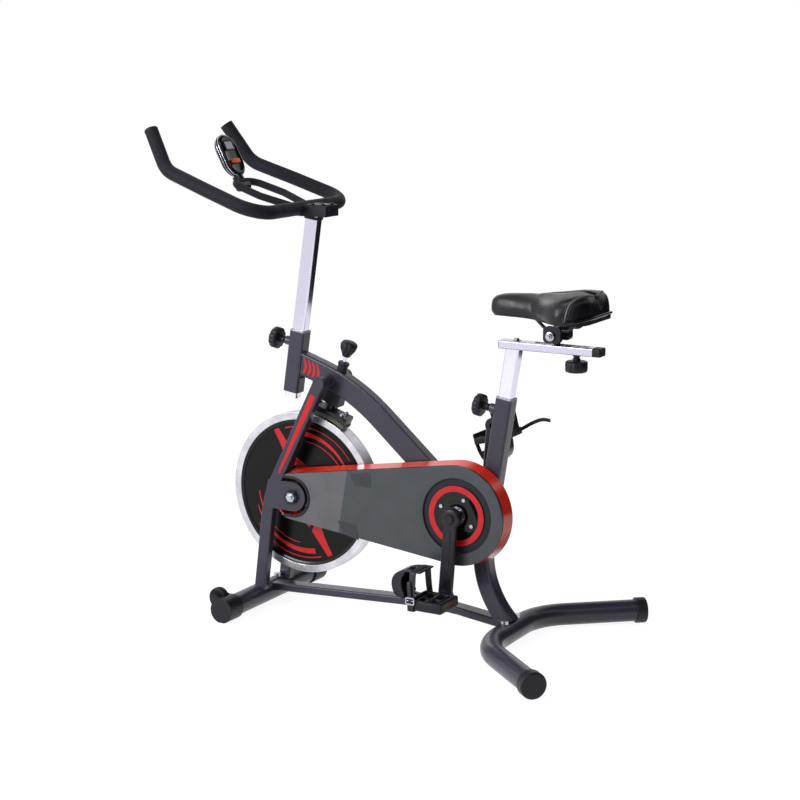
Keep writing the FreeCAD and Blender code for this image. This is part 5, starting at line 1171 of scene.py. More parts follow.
def toe_strap(matrix, side, name, body):
    """A webbing loop round the pedal and over the cage, with its buckle and loose tail."""
    turned = matrix.to_3x3()
    x, edge = -0.03, 0.0405
    half = [(0.0, -0.0126), (edge - 0.004, -0.0126), (edge + 0.0006, -0.0095),
            (edge + 0.0008, 0.006), (edge - 0.003, 0.024), (edge - 0.0065, 0.044),
            (edge - 0.0085, 0.0625), (edge - 0.0125, 0.0686), (0.012, 0.07)]
    loop = [(-y, z) for y, z in reversed(half[1:])] + half
    path = [matrix @ Vector((x, side * PEDAL_MID + p.y, p.z)) for p in smooth_path(
        [Vector((0, y, z)) for y, z in loop], 4, closed=True)]
    bm = bmesh.new()
    sweep(bm, path, rounded_box(0.0022, 0.0145, 0.0007, 2), side=turned @ X, closed=True)
    tail = smooth_path([Vector(p) for p in STRAP_TAILS[name]], 6)
    line = [matrix @ Vector((p.x, side * (PEDAL_MID + p.y), p.z)) for p in tail]
    sweep(bm, line, rounded_box(0.0016, 0.008, 0.0006, 2), side=turned @ X)
    piece(f"toe_strap_{name}_webbing", bm, body, ("webbing",),
          replaces=(f"toe_strap_{name}",))
    bm = bmesh.new()
    spot = matrix @ Vector((x, side * (PEDAL_MID + edge + 0.0022), 0.01))
    here = axes_at(spot, (turned @ Y) * side, turned @ Z)
    outer_ring = rounded_box(0.021, 0.016, 0.003, 4)
    inner_ring = rounded_box(0.0165, 0.0105, 0.0015, 4)
    rings = [placed(inner_ring, here, 0.0), placed(outer_ring, here, 0.0),
             placed(outer_ring, here, 0.0022), placed(inner_ring, here, 0.0022)]
    loft(bm, rings, caps=False, closed=True)
    bar = [spot + (turned @ X) * 0.0082 * k for k in (-1, 1)]
    sweep(bm, bar, circle(0.0011, 12), side=Z)
    piece(f"toe_strap_{name}_buckle", bm, body, ("zinc",))


# loose strap ends in metres: along the pedal, out from its middle, above it
STRAP_TAILS = {
    "left": ((-0.03, 0.0435, 0.004), (-0.031, 0.044, 0.02), (-0.034, 0.0415, 0.036),
             (-0.036, 0.038, 0.049)),
    "right": ((-0.03, 0.0435, 0.004), (-0.029, 0.0445, -0.01), (-0.02, 0.044, -0.04),
              (-0.016, 0.043, -0.066), (-0.021, 0.042, -0.086)),
}


def make_handlebar():
    """Bar end plugs, the stem's screws and cap, and the collar at the top of the post."""
    bm = bmesh.new()
    for side in (-1, 1):
        tip, before = bar_end(side)
        along = (tip - before).normalized()
        here = axes_at(tip, along)
        lathe(bm, here, [(0.0, -0.004), (0.0125, -0.004), (0.0152, -0.0035), (0.0155, -0.0008),
                         (0.0148, 0.0003), (0.0122, 0.0009), (0.011, 0.0002), (0.0, -0.0002)], 40)
    piece("bar_end_plugs", bm, "handlebar", ("plastic",))
    stem_low, stem_high = box_of("stem_clamp")
    spots = [Vector((x, y, stem_high.z + 0.0003)) for x in (stem_low.x + 0.034, stem_high.x - 0.012)
             for y in (-0.017, 0.017)]
    screws("stem_screws", spots, 0.0048, 0.0036, Z, "handlebar", "steel")
    bm = bmesh.new()
    prism(bm, axes_at(Vector(((stem_low.x + stem_high.x) / 2 + 0.006, 0, stem_high.z - 0.0006)), Z),
          rounded_box(0.048, 0.046, 0.006, 4)[::-1], 0.0, 0.0022, 0.0008)
    piece("stem_cap", bm, "handlebar", ("steel",))
    post_high = box_of("handlebar_post")[1]
    bm = bmesh.new()
    up = joint_axis("handlebar_height")
    foot = Vector((post_high.x, 0, post_high.z))
    spot = Vector((foot.x - 0.0155 * up.z - 0.0007, 0, stem_low.z - 0.003))
    sleeve = rounded_box(0.036, 0.029, 0.006, 4)
    slim = rounded_box(0.0314, 0.0244, 0.005, 4)
    here = axes_at(spot, up)
    rings = [placed(slim, here, -0.004), placed(sleeve, here, -0.004), placed(sleeve, here, 0.002),
             placed(slim, here, 0.002)]
    loft(bm, rings, caps=False, closed=True)
    piece("post_top_collar", bm, "handlebar", ("plastic",))


def bar_end(side):
    """The centre of a handlebar tip and a point 60 mm before it."""
    verts = [v.co for v in NODES["handlebar"].data.vertices if v.co.y * side > 0.05]
    top = max(verts, key=lambda p: p.z - p.x * 0.5)
    ring = [p for p in verts if (p - top).length < 0.031]
    axis_top = sum(ring, Vector()) / len(ring)
    return axis_top, axis_top - BAR_RISE[side]


# direction of the last run of each horn, 60 mm long
BAR_RISE = {
    -1: Vector((-0.0541, 0.021, 0.0842)).normalized() * 0.06,
    1: Vector((-0.0541, -0.021, 0.0842)).normalized() * 0.06,
}


def make_console():
    """Gloss console shell with a bezel, display, two chrome side lines and a button cap."""
    press = joint_axis("console_button_press")
    out = -press
    button = middle_of("console_button")
    up = Vector((-out.z, 0, out.x))
    if up.z < 0:
        up = -up
    front = button.dot(out)
    centre = button + up * 0.016
    across = up.cross(out)
    centre -= out * (centre.dot(out) - front)
    matrix = Matrix((
        (across.x, up.x, out.x, centre.x), (across.y, up.y, out.y, centre.y),
        (across.z, up.z, out.z, centre.z), (0, 0, 0, 1)))
    pill = stadium(0.1, 0.062)
    bm = bmesh.new()
    steps = ((-0.0235, 0.72), (-0.0225, 0.84), (-0.0195, 0.94), (-0.0145, 0.99), (-0.0095, 1.0),
             (-0.0055, 0.985), (-0.0032, 0.95), (-0.0018, 0.9), (-0.0012, 0.84), (-0.002, 0.8),
             (-0.002, 0.3))
    loft(bm, [placed(pill, matrix, h, s) for h, s in steps])
    neck = [centre - up * 0.047 - out * 0.014, centre - up * 0.058 - out * 0.013,
            centre - up * 0.07 - out * 0.011]
    sweep(bm, neck, rounded_box(0.022, 0.019, 0.006, 4), side=Y)
    saddle_at = centre - up * 0.073 - out * 0.0105
    lathe(bm, axes_at(saddle_at - Y * 0.016, Y, up), [
        (0.0, 0.0), (0.0105, 0.0), (0.0115, 0.001), (0.0115, 0.031), (0.0105, 0.032),
        (0.0, 0.032)], 32)
    piece("console_shell", bm, "handlebar", ("gloss",), replaces=("console",))
    bm = bmesh.new()
    window = matrix @ Matrix.Translation((0, 0.022, 0))
    frame_line = rounded_box(0.034, 0.024, 0.005, 5)
    glass_line = rounded_box(0.028, 0.018, 0.003, 5)
    rings = [placed(frame_line, window, -0.0022), placed(frame_line, window, -0.0008),
             placed(glass_line, window, -0.0004), placed(glass_line, window, -0.0016)]
    loft(bm, rings, caps=False)
    piece("console_bezel", bm, "handlebar", ("plastic",))
    bm = bmesh.new()
    prism(bm, window, rounded_box(0.0285, 0.0185, 0.003, 5), -0.0026, -0.0011, 0.0002)
    piece("console_display", bm, "handlebar", ("glass",))
    bm = bmesh.new()
    for lift, tall in ((-0.0065, 0.0014), (-0.0125, 0.001)):
        line = [matrix @ Vector((x * 1.003, y * 1.003, lift)) for x, y in pill]
        sweep(bm, line, rounded_box(0.0016, tall, 0.0004, 2), side=out, closed=True)
    piece("console_trim", bm, "handlebar", ("chrome",))
    bm = bmesh.new()
    here = matrix @ Matrix.Translation((0, -0.016, 0))
    key = rounded_box(0.0295, 0.0108, 0.0035, 5)
    loft(bm, [placed(key, here, h, s) for h, s in (
        (-0.003, 1.0), (-0.0003, 1.0), (0.0009, 0.95), (0.0014, 0.84), (0.0015, 0.4))])
    piece("console_key", bm, "console_button", ("button",),
          replaces=("console_button",))


def stadium(long, wide, steps=20):
    """Outline of two half rounds joined by straight sides, long along local Y."""
    r, half = wide / 2, (long - wide) / 2
    points = [(r * math.cos(math.pi * i / steps), half + r * math.sin(math.pi * i / steps))
              for i in range(steps + 1)]
    points += [(-r * math.cos(math.pi * i / steps), -half - r * math.sin(math.pi * i / steps))
               for i in range(steps + 1)]
    return points


# ------------------------------------------------------------------ belt cover and flywheel

def left_face(origin, y):
    """A matrix on the left side of the bike: local X towards the back, Y up, Z outwards."""
    return Matrix(((1, 0, 0, origin.x), (0, 0, -1, y), (0, 1, 0, origin.z), (0, 0, 0, 1)))


def arc_band(bm, matrix, inner, outer, first, last, low, high, taper=(1.0, 1.0), steps=40):
    """A flat ring segment between two angles in degrees, tapering to each end."""
    full = abs(last - first) >= 359.9
    rings = []
    for i in range(steps if full else steps + 1):
        t = i / steps
        a = math.radians(first + (last - first) * t)
        width = (taper[0] + (taper[1] - taper[0]) * t) * (outer - inner)
        c, s = math.cos(a), math.sin(a)
        rings.append([matrix @ Vector((r * c, r * s, h)) for r, h in (
            (inner, low), (inner + width, low), (inner + width, high), (inner, high))])
    loft(bm, rings, caps=not full, closed=full)


def make_cover():
    """Trim of the belt cover: window gasket, film patches, dished plate, red ring and beads."""
    skin = box_of("belt_cover_face")[0].y
    film = sizes().film
    # black gasket round the wheel window, open to the front
    matrix = left_face(WHEEL, skin)
    line = [(-0.0215, 0.0435)]
    line += [(0.0435 * math.cos(math.radians(a)), 0.0435 * math.sin(math.radians(a)))
             for a in range(90, -91, -9)]
    line += [(-0.0215, -0.0435)]
    bm = bmesh.new()
    path = [matrix @ Vector((x, y, 0.0004)) for x, y in line]
    sweep(bm, path, rounded_box(0.0062, 0.0034, 0.0015, 3), side=-Y)
    piece("window_gasket", bm, "frame", ("plastic",))
    # two dark film patches beside the change of grey
    bm = bmesh.new()
    for corners in (((0.150, 0.070), (0.161, 0.046), (0.203, 0.045), (0.201, 0.078)),
                    ((0.118, -0.038), (0.165, -0.042), (0.172, -0.075), (0.131, -0.0665))):
        prism(bm, left_face(WHEEL, skin), corners[::-1], -0.0003, film, 0.0001)
    piece("cover_patches", bm, "frame", ("shade",))
    # star washer under the axle nut
    bm = bmesh.new()
    here = left_face(WHEEL, -0.0662)
    star = fluted(0.0165, 6, 0.0045, 72)
    loft(bm, [placed(star, here, h, s) for h, s in (
        (0.0, 0.96), (0.0005, 1.0), (0.0016, 1.0), (0.0021, 0.96), (0.0022, 0.3))])
    piece("axle_star_washer", bm, "frame", ("steel",))
    # dished plate behind the crank, with its red ring
    matrix = left_face(CRANK, box_of("cover_hub_plate")[0].y)
    bm = bmesh.new()
    lathe(bm, matrix, [(0.021, -0.0022), (0.021, 0.0), (0.0225, 0.0006), (0.030, 0.0008),
                       (0.034, -0.0004), (0.048, -0.0008), (0.0505, 0.0004), (0.0655, 0.0002),
                       (0.066, -0.0008), (0.066, -0.0022)], 96, closed=True)
    piece("cover_hub_dish", bm, "frame", ("gloss",),
          replaces=("cover_hub_plate",))
    bm = bmesh.new()
    arc_band(bm, matrix, 0.0525, 0.0648, 0, 360, 0.0002, 0.0002 + film * 2, steps=96)
    piece("cover_ring", bm, "frame", ("film",))
    bm = bmesh.new()
    here = left_face(CRANK, skin)
    lathe(bm, here, [(0.0788, -0.0024), (0.0788, 0.0002), (0.0796, 0.0009), (0.0806, 0.0009),
                     (0.0814, 0.0), (0.0814, -0.0006)], 96, closed=True)
    piece("cover_dish_bead", bm, "frame", ("plastic",))
    # black floor of the recess round the dish: painted shade, a dark ring standing in for the
    # shadow in the recess
    bm = bmesh.new()
    arc_band(bm, here, 0.0664, 0.0786, 0, 360, -0.0035, -0.0022, steps=96)
    piece("cover_dish_painted_shade_floor", bm, "frame", ("plastic",))
    # parting line between the face and the tray
    outline = grown_line(capsule_line(WHEEL, 0.0517, CRANK, 0.107), 0.0004)
    bm = bmesh.new()
    sweep(bm, [Vector((p.x, skin + 0.0052, p.z)) for p in outline],
          rounded_box(0.0012, 0.0012, 0.0004, 2), side=-Y, closed=True)
    piece("cover_parting_bead", bm, "frame", ("plastic",))


def capsule_line(first, r1, second, r2, steps=24):
    """Outline round two circles in the XZ plane, as points in order."""
    gap = Vector((second.x - first.x, second.z - first.z))
    base = math.atan2(gap.y, gap.x)
    lean = math.acos((r1 - r2) / gap.length)
    points = []
    for i in range(steps + 1):
        a = base + lean + (2 * math.pi - 2 * lean) * i / steps
        points.append(Vector((first.x + r1 * math.cos(a), 0, first.z + r1 * math.sin(a))))
    for i in range(steps + 1):
        a = base - lean + 2 * lean * i / steps
        points.append(Vector((second.x + r2 * math.cos(a), 0, second.z + r2 * math.sin(a))))
    return points


def grown_line(points, by):
    out = []
    count = len(points)
    for i, p in enumerate(points):
        along = points[(i + 1) % count] - points[i - 1]
        out.append(p + Vector((along.z, 0, -along.x)).normalized() * by)
    return out


def make_flywheel():
    """Red bars and arcs on both faces of the flywheel, its hub rings and the step at the rim."""
    film = sizes().film
    web = 0.014
    for side, name in ((-1, "left"), (1, "right")):
        matrix = left_face(WHEEL, -web)
        if side > 0:
            matrix = Matrix(((1, 0, 0, WHEEL.x), (0, 0, 1, web), (0, -1, 0, WHEEL.z),
                             (0, 0, 0, 1)))
        bm = bmesh.new()
        high_face = film * 1.5
        for turn in (0, 180):
            arc_band(bm, matrix, 0.128, 0.1405, 103 + turn, 20 + turn, 0.0, high_face,
                     taper=(1.0, 0.15))
            arc_band(bm, matrix, 0.1475, 0.1505, 108 + turn, 35 + turn, 0.0, high_face,
                     taper=(1.0, 0.4))
            arc_band(bm, matrix, 0.116, 0.119, 85 + turn, 5 + turn, 0.0, high_face,
                     taper=(0.5, 1.0))
            for line in FLYWHEEL_BARS:
                swung = [rotated(p, turn) for p in line]
                rings = [[matrix @ Vector((x, y, h)) for x, y in swung]
                         for h in (0.0, high_face)]
                loft(bm, rings)
        piece(f"flywheel_film_{name}", bm, "flywheel", ("film",))
        bm = bmesh.new()
        for r in (0.0385, 0.0615):
            lathe(bm, matrix, [(r, -0.0004), (r, 0.0006), (r + 0.0006, 0.0011),
                               (r + 0.0018, 0.0011), (r + 0.0024, 0.0006), (r + 0.0024, -0.0004)],
                  64, closed=True)
        lathe(bm, matrix, [(0.158, -0.0004), (0.1585, 0.0012), (0.161, 0.0022), (0.1642, 0.0036),
                           (0.1652, 0.0036), (0.1652, -0.0004)], 128, closed=True)
        piece(f"flywheel_steps_{name}", bm, "flywheel", ("enamel",))


def rotated(point, degrees):
    a = math.radians(degrees)
    x, y = point
    return (x * math.cos(a) - y * math.sin(a), x * math.sin(a) + y * math.cos(a))


# arrow shaped bars that run from the rim to the hub, in the plane of the web
FLYWHEEL_BARS = (
    ((-0.076, 0.134), (-0.064, 0.140), (-0.022, 0.086), (-0.030, 0.066), (-0.046, 0.072),
     (-0.056, 0.098), (-0.062, 0.110)),
    ((-0.016, 0.078), (0.010, 0.060), (0.050, 0.034), (0.040, 0.026), (-0.004, 0.046),
     (-0.024, 0.060)),
)


# ------------------------------------------------------------------ frame trim

def make_welds():
    """Rippled weld beads where the tubes meet."""
    weld = sizes().weld
    up = joint_axis("handlebar_height")
    rows = []
    main_low, main_high = box_of("main_tube")
    half = (main_high.y - main_low.y) / 2
    # round the main tube where it meets the head tube
    back = head_point(up, 0.0185)
    for side in (-1, 1):
        rows.append(([back + up * t + Y * side * half for t in (-0.030, -0.012, 0.006, 0.021)],
                     False))
    rows.append(([back + up * 0.0215 + Y * y for y in (-half, 0, half)], False))
    rows.append(([back - up * 0.0305 + Y * y for y in (-half, 0, half)], False))
    beads("weld_head", rows, {
        "Count": 18, "Length": 0.0016, "Width": weld * 1.5, "Height": weld * 1.5,
        "Side": (0.0, 1.0, 0.0), "Unevenness": 0.15}, "frame", "paint")
    # round the stubs that carry the fork legs
    stub_low, stub_high = box_of("fork_stubs")
    centre = (stub_low + stub_high) / 2
    radius = (stub_high.z - stub_low.z) / 2
    rows = []
    for y in (-half - 0.0005, half + 0.0005, stub_low.y + 0.0003, stub_high.y - 0.0003):
        rows.append(([Vector((centre.x + radius * math.cos(a), y, centre.z + radius * math.sin(a)))
                      for a in (2 * math.pi * i / 24 for i in range(24))], True))
    beads("weld_fork_stubs", rows, {
        "Count": 30, "Length": 0.0016, "Width": weld * 1.3, "Height": weld * 1.3,
        "Side": (0.0, 1.0, 0.0), "Unevenness": 0.15}, "frame", "paint")
    # bottom bracket shell to the main tube
    shell_low, shell_high = box_of("bottom_bracket_shell")
    radius = (shell_high.z - shell_low.z) / 2
    rows = []
    for y in (-half, half):
        rows.append(([Vector((CRANK.x + radius * math.cos(a), y, CRANK.z + radius * math.sin(a)))
                      for a in (math.radians(d) for d in range(0, 360, 15))], True))
    beads("weld_shell", rows, {
        "Count": 36, "Length": 0.0018, "Width": weld * 1.3, "Height": weld * 1.3,
        "Side": (0.0, 1.0, 0.0), "Unevenness": 0.15}, "frame", "paint")


def head_point(up, behind):
    """A point on the rear face of the head tube, where the main tube meets it."""
    return HEAD_FOOT + up * 0.066 + Vector((up.z, 0, -up.x)) * behind


HEAD_FOOT = Vector((-0.2343, 0, 0.4935))


def make_decals():
    """Red film: a tapering stripe down each fork leg and four curved bars on the main tube."""
    film = sizes().film * 1.5
    out = box_of("fork_leg_left")[0].y
    top, foot = FORK_TOP, FORK_TURN
    along = (foot - top).normalized()
    across = Vector((along.z, 0, -along.x))
    bm = bmesh.new()
    for side in (-1, 1):
        stations = ((0.030, -0.0062, 0.0048), (0.036, -0.0078, 0.0062), (0.10, -0.0068, 0.0050),
                    (0.18, -0.0052, 0.0032), (0.235, -0.0036, 0.0018))
        rings = []
        for t, a, b in stations:
            p = top + along * t
            rings.append([p + across * a + Y * side * -out, p + across * b + Y * side * -out,
                          p + across * b + Y * side * (-out + film),
                          p + across * a + Y * side * (-out + film)])
        loft(bm, rings)
    piece("fork_stripes", bm, "frame", ("film",))
    main_high = box_of("main_tube")[1]
    bm = bmesh.new()
    run = (MAIN_TURN - MAIN_TOP).normalized()
    rise = Vector((-run.z, 0, run.x))
    for side in (-1, 1):
        for i in range(4):
            start = MAIN_TOP + run * (0.035 + 0.0115 * i)
            rings = []
            for k in range(9):
                t = -1 + k / 4
                bow = run * (0.006 * (1 - t * t) - 0.004 * t)
                p = start + bow + rise * (0.0165 * t)
                w = run * (0.0034 * (1 - 0.35 * t * t))
                y0, y1 = main_high.y * side, (main_high.y + film) * side
                rings.append([p - w + Y * y0, p + w + Y * y0, p + w + Y * y1, p - w + Y * y1])
            loft(bm, rings)
    piece("main_tube_bars", bm, "frame", ("film",))


FORK_TOP = Vector((-0.1323, 0, 0.529))
FORK_TURN = Vector((-0.2653, 0, 0.262))
MAIN_TOP = Vector((-0.2303, 0, 0.566))
MAIN_TURN = Vector((-0.0758, 0, 0.516))


def make_feet():
    """Three fine ribs round each cap of the front stabilizer."""
    bm = bmesh.new()
    high = box_of("front_end_caps")[1]
    front = middle_of("front_stabilizer")
    for side in (-1, 1):
        for step in (0.012, 0.017, 0.022):
            ring_at = Vector((front.x, side * (high.y - step), front.z))
            lathe(bm, axes_at(ring_at, Y * side), [
                (0.0264, -0.0011), (0.0272, -0.0005), (0.0272, 0.0005), (0.0264, 0.0011)],
                48, closed=True)
    piece("front_cap_ribs", bm, "frame", ("plastic",))


def make_wheels():
    """Transport wheels: a grooved rubber tyre on a moulded hub."""
    for side, name in ((-1, "left"), (1, "right")):
        node = f"transport_wheel_{name}"
        low, high = box_of(node)
        centre = (low + high) / 2
        half, radius = (high.y - low.y) / 2, (high.z - low.z) / 2
        here = axes_at(centre, Y * side)
        bm = bmesh.new()
        lathe(bm, here, [(0.0145, -half + 0.001), (0.0165, -half), (radius - 0.003, -half),
                         (radius - 0.0008, -half + 0.0015), (radius, -half + 0.004),
                         (radius, -0.002), (radius - 0.0012, -0.0012), (radius - 0.0012, 0.0012),
                         (radius, 0.002), (radius, half - 0.004), (radius - 0.0008, half - 0.0015),
                         (radius - 0.003, half), (0.0165, half), (0.0145, half - 0.001)], 56,
              closed=True)
        lathe(bm, here, [(0.0042, -half + 0.0005), (0.0055, -half + 0.0002),
                         (0.0062, -half + 0.002), (0.0135, -half + 0.0024),
                         (0.0146, -half + 0.0008),
                         (0.0148, half - 0.0008), (0.0135, half - 0.0024), (0.0062, half - 0.002),
                         (0.0055, half - 0.0002), (0.0042, half - 0.0005)], 48, material=1,
              closed=True)
        piece(node + "_tyre", bm, node, ("rubber", "bush"), replaces=(node,))


def make_slide():
    """Nuts of the saddle clamp, the bolt on the slide bar and the bar's end plugs."""
    cheek = box_of("saddle_clamp")[1].y
    tilt = joint_spot("saddle_tilt")
    bm = bmesh.new()
    for side in (-1, 1):
        here = axes_at(Vector((tilt.x, side * cheek, tilt.z)), Y * side)
        lathe(bm, here, [(0.0, -0.001), (0.0095, -0.001), (0.0095, 0.0008), (0.0085, 0.0014),
                         (0.0, 0.0014)], 32)
        prism(bm, here, circle(0.0072, 6), 0.0014, 0.0062, 0.0007)
        lathe(bm, here, [(0.0, 0.006), (0.004, 0.006), (0.004, 0.0085), (0.0033, 0.0095),
                         (0.0, 0.0095)], 24)
    piece("saddle_clamp_nuts", bm, "saddle", ("zinc",))
    bar_low, bar_high = box_of("slide_bar")
    seat_low, seat_high = box_of("seat_post")
    bm = bmesh.new()
    spot = Vector(((seat_low.x + seat_high.x) / 2 + 0.028, 0, bar_high.z))
    here = axes_at(spot, Z)
    lathe(bm, here, [(0.0, -0.001), (0.0105, -0.001), (0.0105, 0.0006), (0.0098, 0.0012),
                     (0.0, 0.0012)], 36)
    prism(bm, here, circle(0.0066, 6), 0.0012, 0.0052, 0.0007)
    piece("slide_bar_bolt", bm, "seat", ("zinc",))
    cap_low, cap_high = box_of("bar_end_caps")
    wide, tall = bar_high.y - bar_low.y, bar_high.z - bar_low.z
    for name, end, away, thick, key, slot in (
            ("front", bar_low, -X, bar_low.x - cap_low.x, "satin", "chrome"),
            ("rear", bar_high, X, cap_high.x - bar_high.x, "plastic", "black_plastic")):
        bm = bmesh.new()
        here = axes_at(Vector((end.x, 0, (bar_low.z + bar_high.z) / 2)), away)
        prism(bm, here, rounded_box(tall, wide, 0.003, 4), 0.0002, thick, 0.0012)
        prism(bm, here, rounded_box(tall - 0.005, wide - 0.005, 0.0015, 3), -0.004, 0.0004, 0.0005)
        prism(bm, here, rounded_box(tall * 0.5, wide * 0.6, 0.002, 3), thick - 0.0006,
              thick + 0.0005, 0.0004)
        piece(f"slide_bar_{name}_cap", bm, "seat", (key,), replaces=("bar_end_caps",))


# ------------------------------------------------------------------ stage

FLOOR_M, FLOOR_CELLS = 60.0, 12
# name, place in metres, watts, width in metres
LAMPS = (
    ("key", (-1.7, -3.1, 1.9), 78.0, 1.5),
    ("rim", (-2.6, 1.9, 2.2), 9.0, 1.4),
    ("top", (0.1, -0.6, 2.7), 9.0, 0.9),
)
# name, middle, the way it faces, width and height in metres
FLAGS = (
    ("side_flag", (2.7, 0.6, 1.2), (-1, 0, 0), 4.4, 2.6),
    ("front_flag", (2.0, -4.9, 1.3), (0, 1, 0), 3.4, 3.2),
    ("back_flag", (1.15, 1.75, 0.62), (-0.5, -0.87, 0), 2.7, 1.2),
    ("ceiling_flag", (0.7, 0.9, 2.9), (0, 0, -1), 3.6, 3.0),
)
SENSOR_MM, LENS_MM = 36.0, 82.35
# degrees round from the left side and up from level
CAMERA_AZIMUTH, CAMERA_RISE = 29.93, 11.34
CAMERA_SPOT = (1.9547, -3.33, 1.27)


def stage_piece(name, bm, material):
    """Closes a bmesh into an object of the stage, which isn't part of the bike."""
    mesh = bpy.data.meshes.new(name)
    bm.to_mesh(mesh)
    bm.free()
    mesh.materials.append(material)
    item = bpy.data.objects.new(name, mesh)
    bpy.context.scene.collection.objects.link(item)
    return item


def make_stage():
    """Pale floor, plain studio lights, world and camera."""
    bm = bmesh.new()
    lines = [FLOOR_M * (i / FLOOR_CELLS - 0.5) for i in range(FLOOR_CELLS + 1)]
    rows = [[bm.verts.new((x, y, 0.0)) for y in lines] for x in lines]
    for a, b in zip(rows, rows[1:]):
        for j in range(FLOOR_CELLS):
            bm.faces.new((a[j], b[j], b[j + 1], a[j + 1]))
    stage_piece("studio_floor", bm, studio_floor_paint())
    add_world()
    for name, spot, watts, width in LAMPS:
        add_lamp(name, spot, watts, width)
    cloth = moulded_plastic("black_flag_cloth", "#08080A", "#0E0E11", (0.8, 0.9), 4, 0.3)
    for name, middle, facing, wide, high in FLAGS:
        add_flag(name, middle, facing, wide, high, cloth)
    data = bpy.data.cameras.new("studio_camera")
    data.lens = LENS_MM
    data.sensor_width = SENSOR_MM
    camera = bpy.data.objects.new("studio_camera", data)
    azimuth, rise = math.radians(CAMERA_AZIMUTH), math.radians(CAMERA_RISE)
    back = Vector((math.sin(azimuth) * math.cos(rise), -math.cos(azimuth) * math.cos(rise),
                   math.sin(rise)))
    camera.location = CAMERA_SPOT
    camera.rotation_euler = (-back).to_track_quat("-Z", "Y").to_euler()
    bpy.context.scene.collection.objects.link(camera)
    bpy.context.scene.camera = camera
    bpy.context.scene.view_settings.view_transform = "Standard"


def add_flag(name, middle, facing, wide, high, cloth):
    """A flat dark cloth frame seen only in reflections; it casts no shadow, lights nothing, and the
    camera looks past it.
    """
    bm = bmesh.new()
    spot = axes_at(Vector(middle), Vector(facing), Y if abs(facing[1]) < 0.5 else X)
    prism(bm, spot, rounded_box(high, wide, 0.02), 0.0, 0.02, edge=0.002)
    flag = stage_piece(name, bm, cloth)
    flag.visible_camera = flag.visible_shadow = flag.visible_diffuse = False


def seen_directly(tree):
    """1 for camera, glossy and transmission rays, 0 for light that falls on things."""
    rays = add_node(tree, "ShaderNodeLightPath")
    pair = add_node(tree, "ShaderNodeMath", {
        0: rays.outputs["Is Camera Ray"], 1: rays.outputs["Is Glossy Ray"]}, operation="MAXIMUM")
    return add_node(tree, "ShaderNodeMath", {
        0: pair.outputs[0], 1: rays.outputs["Is Transmission Ray"]}, operation="MAXIMUM").outputs[0]


def studio_floor_paint():
    """Matt white studio paint, kept near white to the eye but with the object's shadow."""
    material = bpy.data.materials.new("studio_floor_paint")
    material.use_nodes = True
    tree = material.node_tree
    tree.nodes.clear()
    coords = object_coords(tree)
    cloudy = noise(tree, coords, 400, 2)
    paint = add_node(tree, "ShaderNodeBsdfDiffuse", {
        "Color": ramp(tree, cloudy, [(0.3, "#A8A8AC"), (0.7, "#AEAEB2")])})
    faint = add_node(tree, "ShaderNodeBsdfDiffuse", {
        "Color": ramp(tree, cloudy, [(0.3, "#9A9A9A"), (0.7, "#A0A0A0")])})
    glow = add_node(tree, "ShaderNodeEmission", {"Color": (1, 1, 1, 1), "Strength": 0.9})
    seen = add_node(tree, "ShaderNodeAddShader", {0: glow.outputs[0], 1: faint.outputs[0]})
    mix = add_node(tree, "ShaderNodeMixShader", {
        0: seen_directly(tree), 1: paint.outputs[0], 2: seen.outputs[0]})
    output = add_node(tree, "ShaderNodeOutputMaterial")
    tree.links.new(mix.outputs[0], output.inputs["Surface"])
    return material


def add_world():
    world = bpy.data.worlds.new("studio")
    bpy.context.scene.world = world
    world.use_nodes = True
    tree = world.node_tree
    tree.nodes.clear()
    soft = add_node(tree, "ShaderNodeBackground", {"Color": (1, 1, 1, 1), "Strength": 0.3})
    white = add_node(tree, "ShaderNodeBackground", {"Color": (1, 1, 1, 1), "Strength": 1.0})
    mix = add_node(tree, "ShaderNodeMixShader", {
        0: seen_directly(tree), 1: soft.outputs[0], 2: white.outputs[0]})
    output = add_node(tree, "ShaderNodeOutputWorld")
    tree.links.new(mix.outputs[0], output.inputs["Surface"])


def add_lamp(name, spot, power, width):
    data = bpy.data.lights.new(name, "AREA")
    data.energy = power
    data.size = width
    lamp = bpy.data.objects.new(name, data)
    lamp.location = spot
    lamp.rotation_euler = (Vector((0, 0, 0.5)) - Vector(spot)).to_track_quat("-Z", "Y").to_euler()
    bpy.context.scene.collection.objects.link(lamp)
    return lamp


# ------------------------------------------------------------------ operators and panel

def run(job):
    """Runs a job for an operator, so that any fault stops the script."""
    job()
    return {"FINISHED"}


class SPINBIKE_OT_finishes(bpy.types.Operator):
    """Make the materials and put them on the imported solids"""
    bl_idname = "spinbike.finishes"
    bl_label = "Finishes"

    def execute(self, context):
        bead_row_tree()
        socket_screw_tree()
        return run(lambda: make_finishes(context.scene.spin_bike_colours))


class SPINBIKE_OT_saddle(bpy.types.Operator):
    """Make the padded saddle with its piping, stitches and bumper"""
    bl_idname = "spinbike.saddle"
    bl_label = "Saddle"

    def execute(self, context):
        return run(lambda: make_saddle(context.scene.spin_bike_sizes))


class SPINBIKE_OT_knobs(bpy.types.Operator):
    """Make both pull knobs and the slide knob"""
    bl_idname = "spinbike.knobs"
    bl_label = "Hand knobs"

    def execute(self, context):
        return run(make_knobs)


class SPINBIKE_OT_brake(bpy.types.Operator):
    """Make the brake knob, its collar, and the shoe's hardware and felt"""
    bl_idname = "spinbike.brake"
    bl_label = "Brake"

    def execute(self, context):
        return run(make_brake)


class SPINBIKE_OT_cranks(bpy.types.Operator):
    """Make the forged crank arms and their dust caps"""
    bl_idname = "spinbike.cranks"
    bl_label = "Cranks"

    def execute(self, context):
        return run(make_cranks)


class SPINBIKE_OT_pedals(bpy.types.Operator):
    """Make the pedals with their toe cages and straps"""
    bl_idname = "spinbike.pedals"
    bl_label = "Pedals"

    def execute(self, context):
        return run(make_pedals)


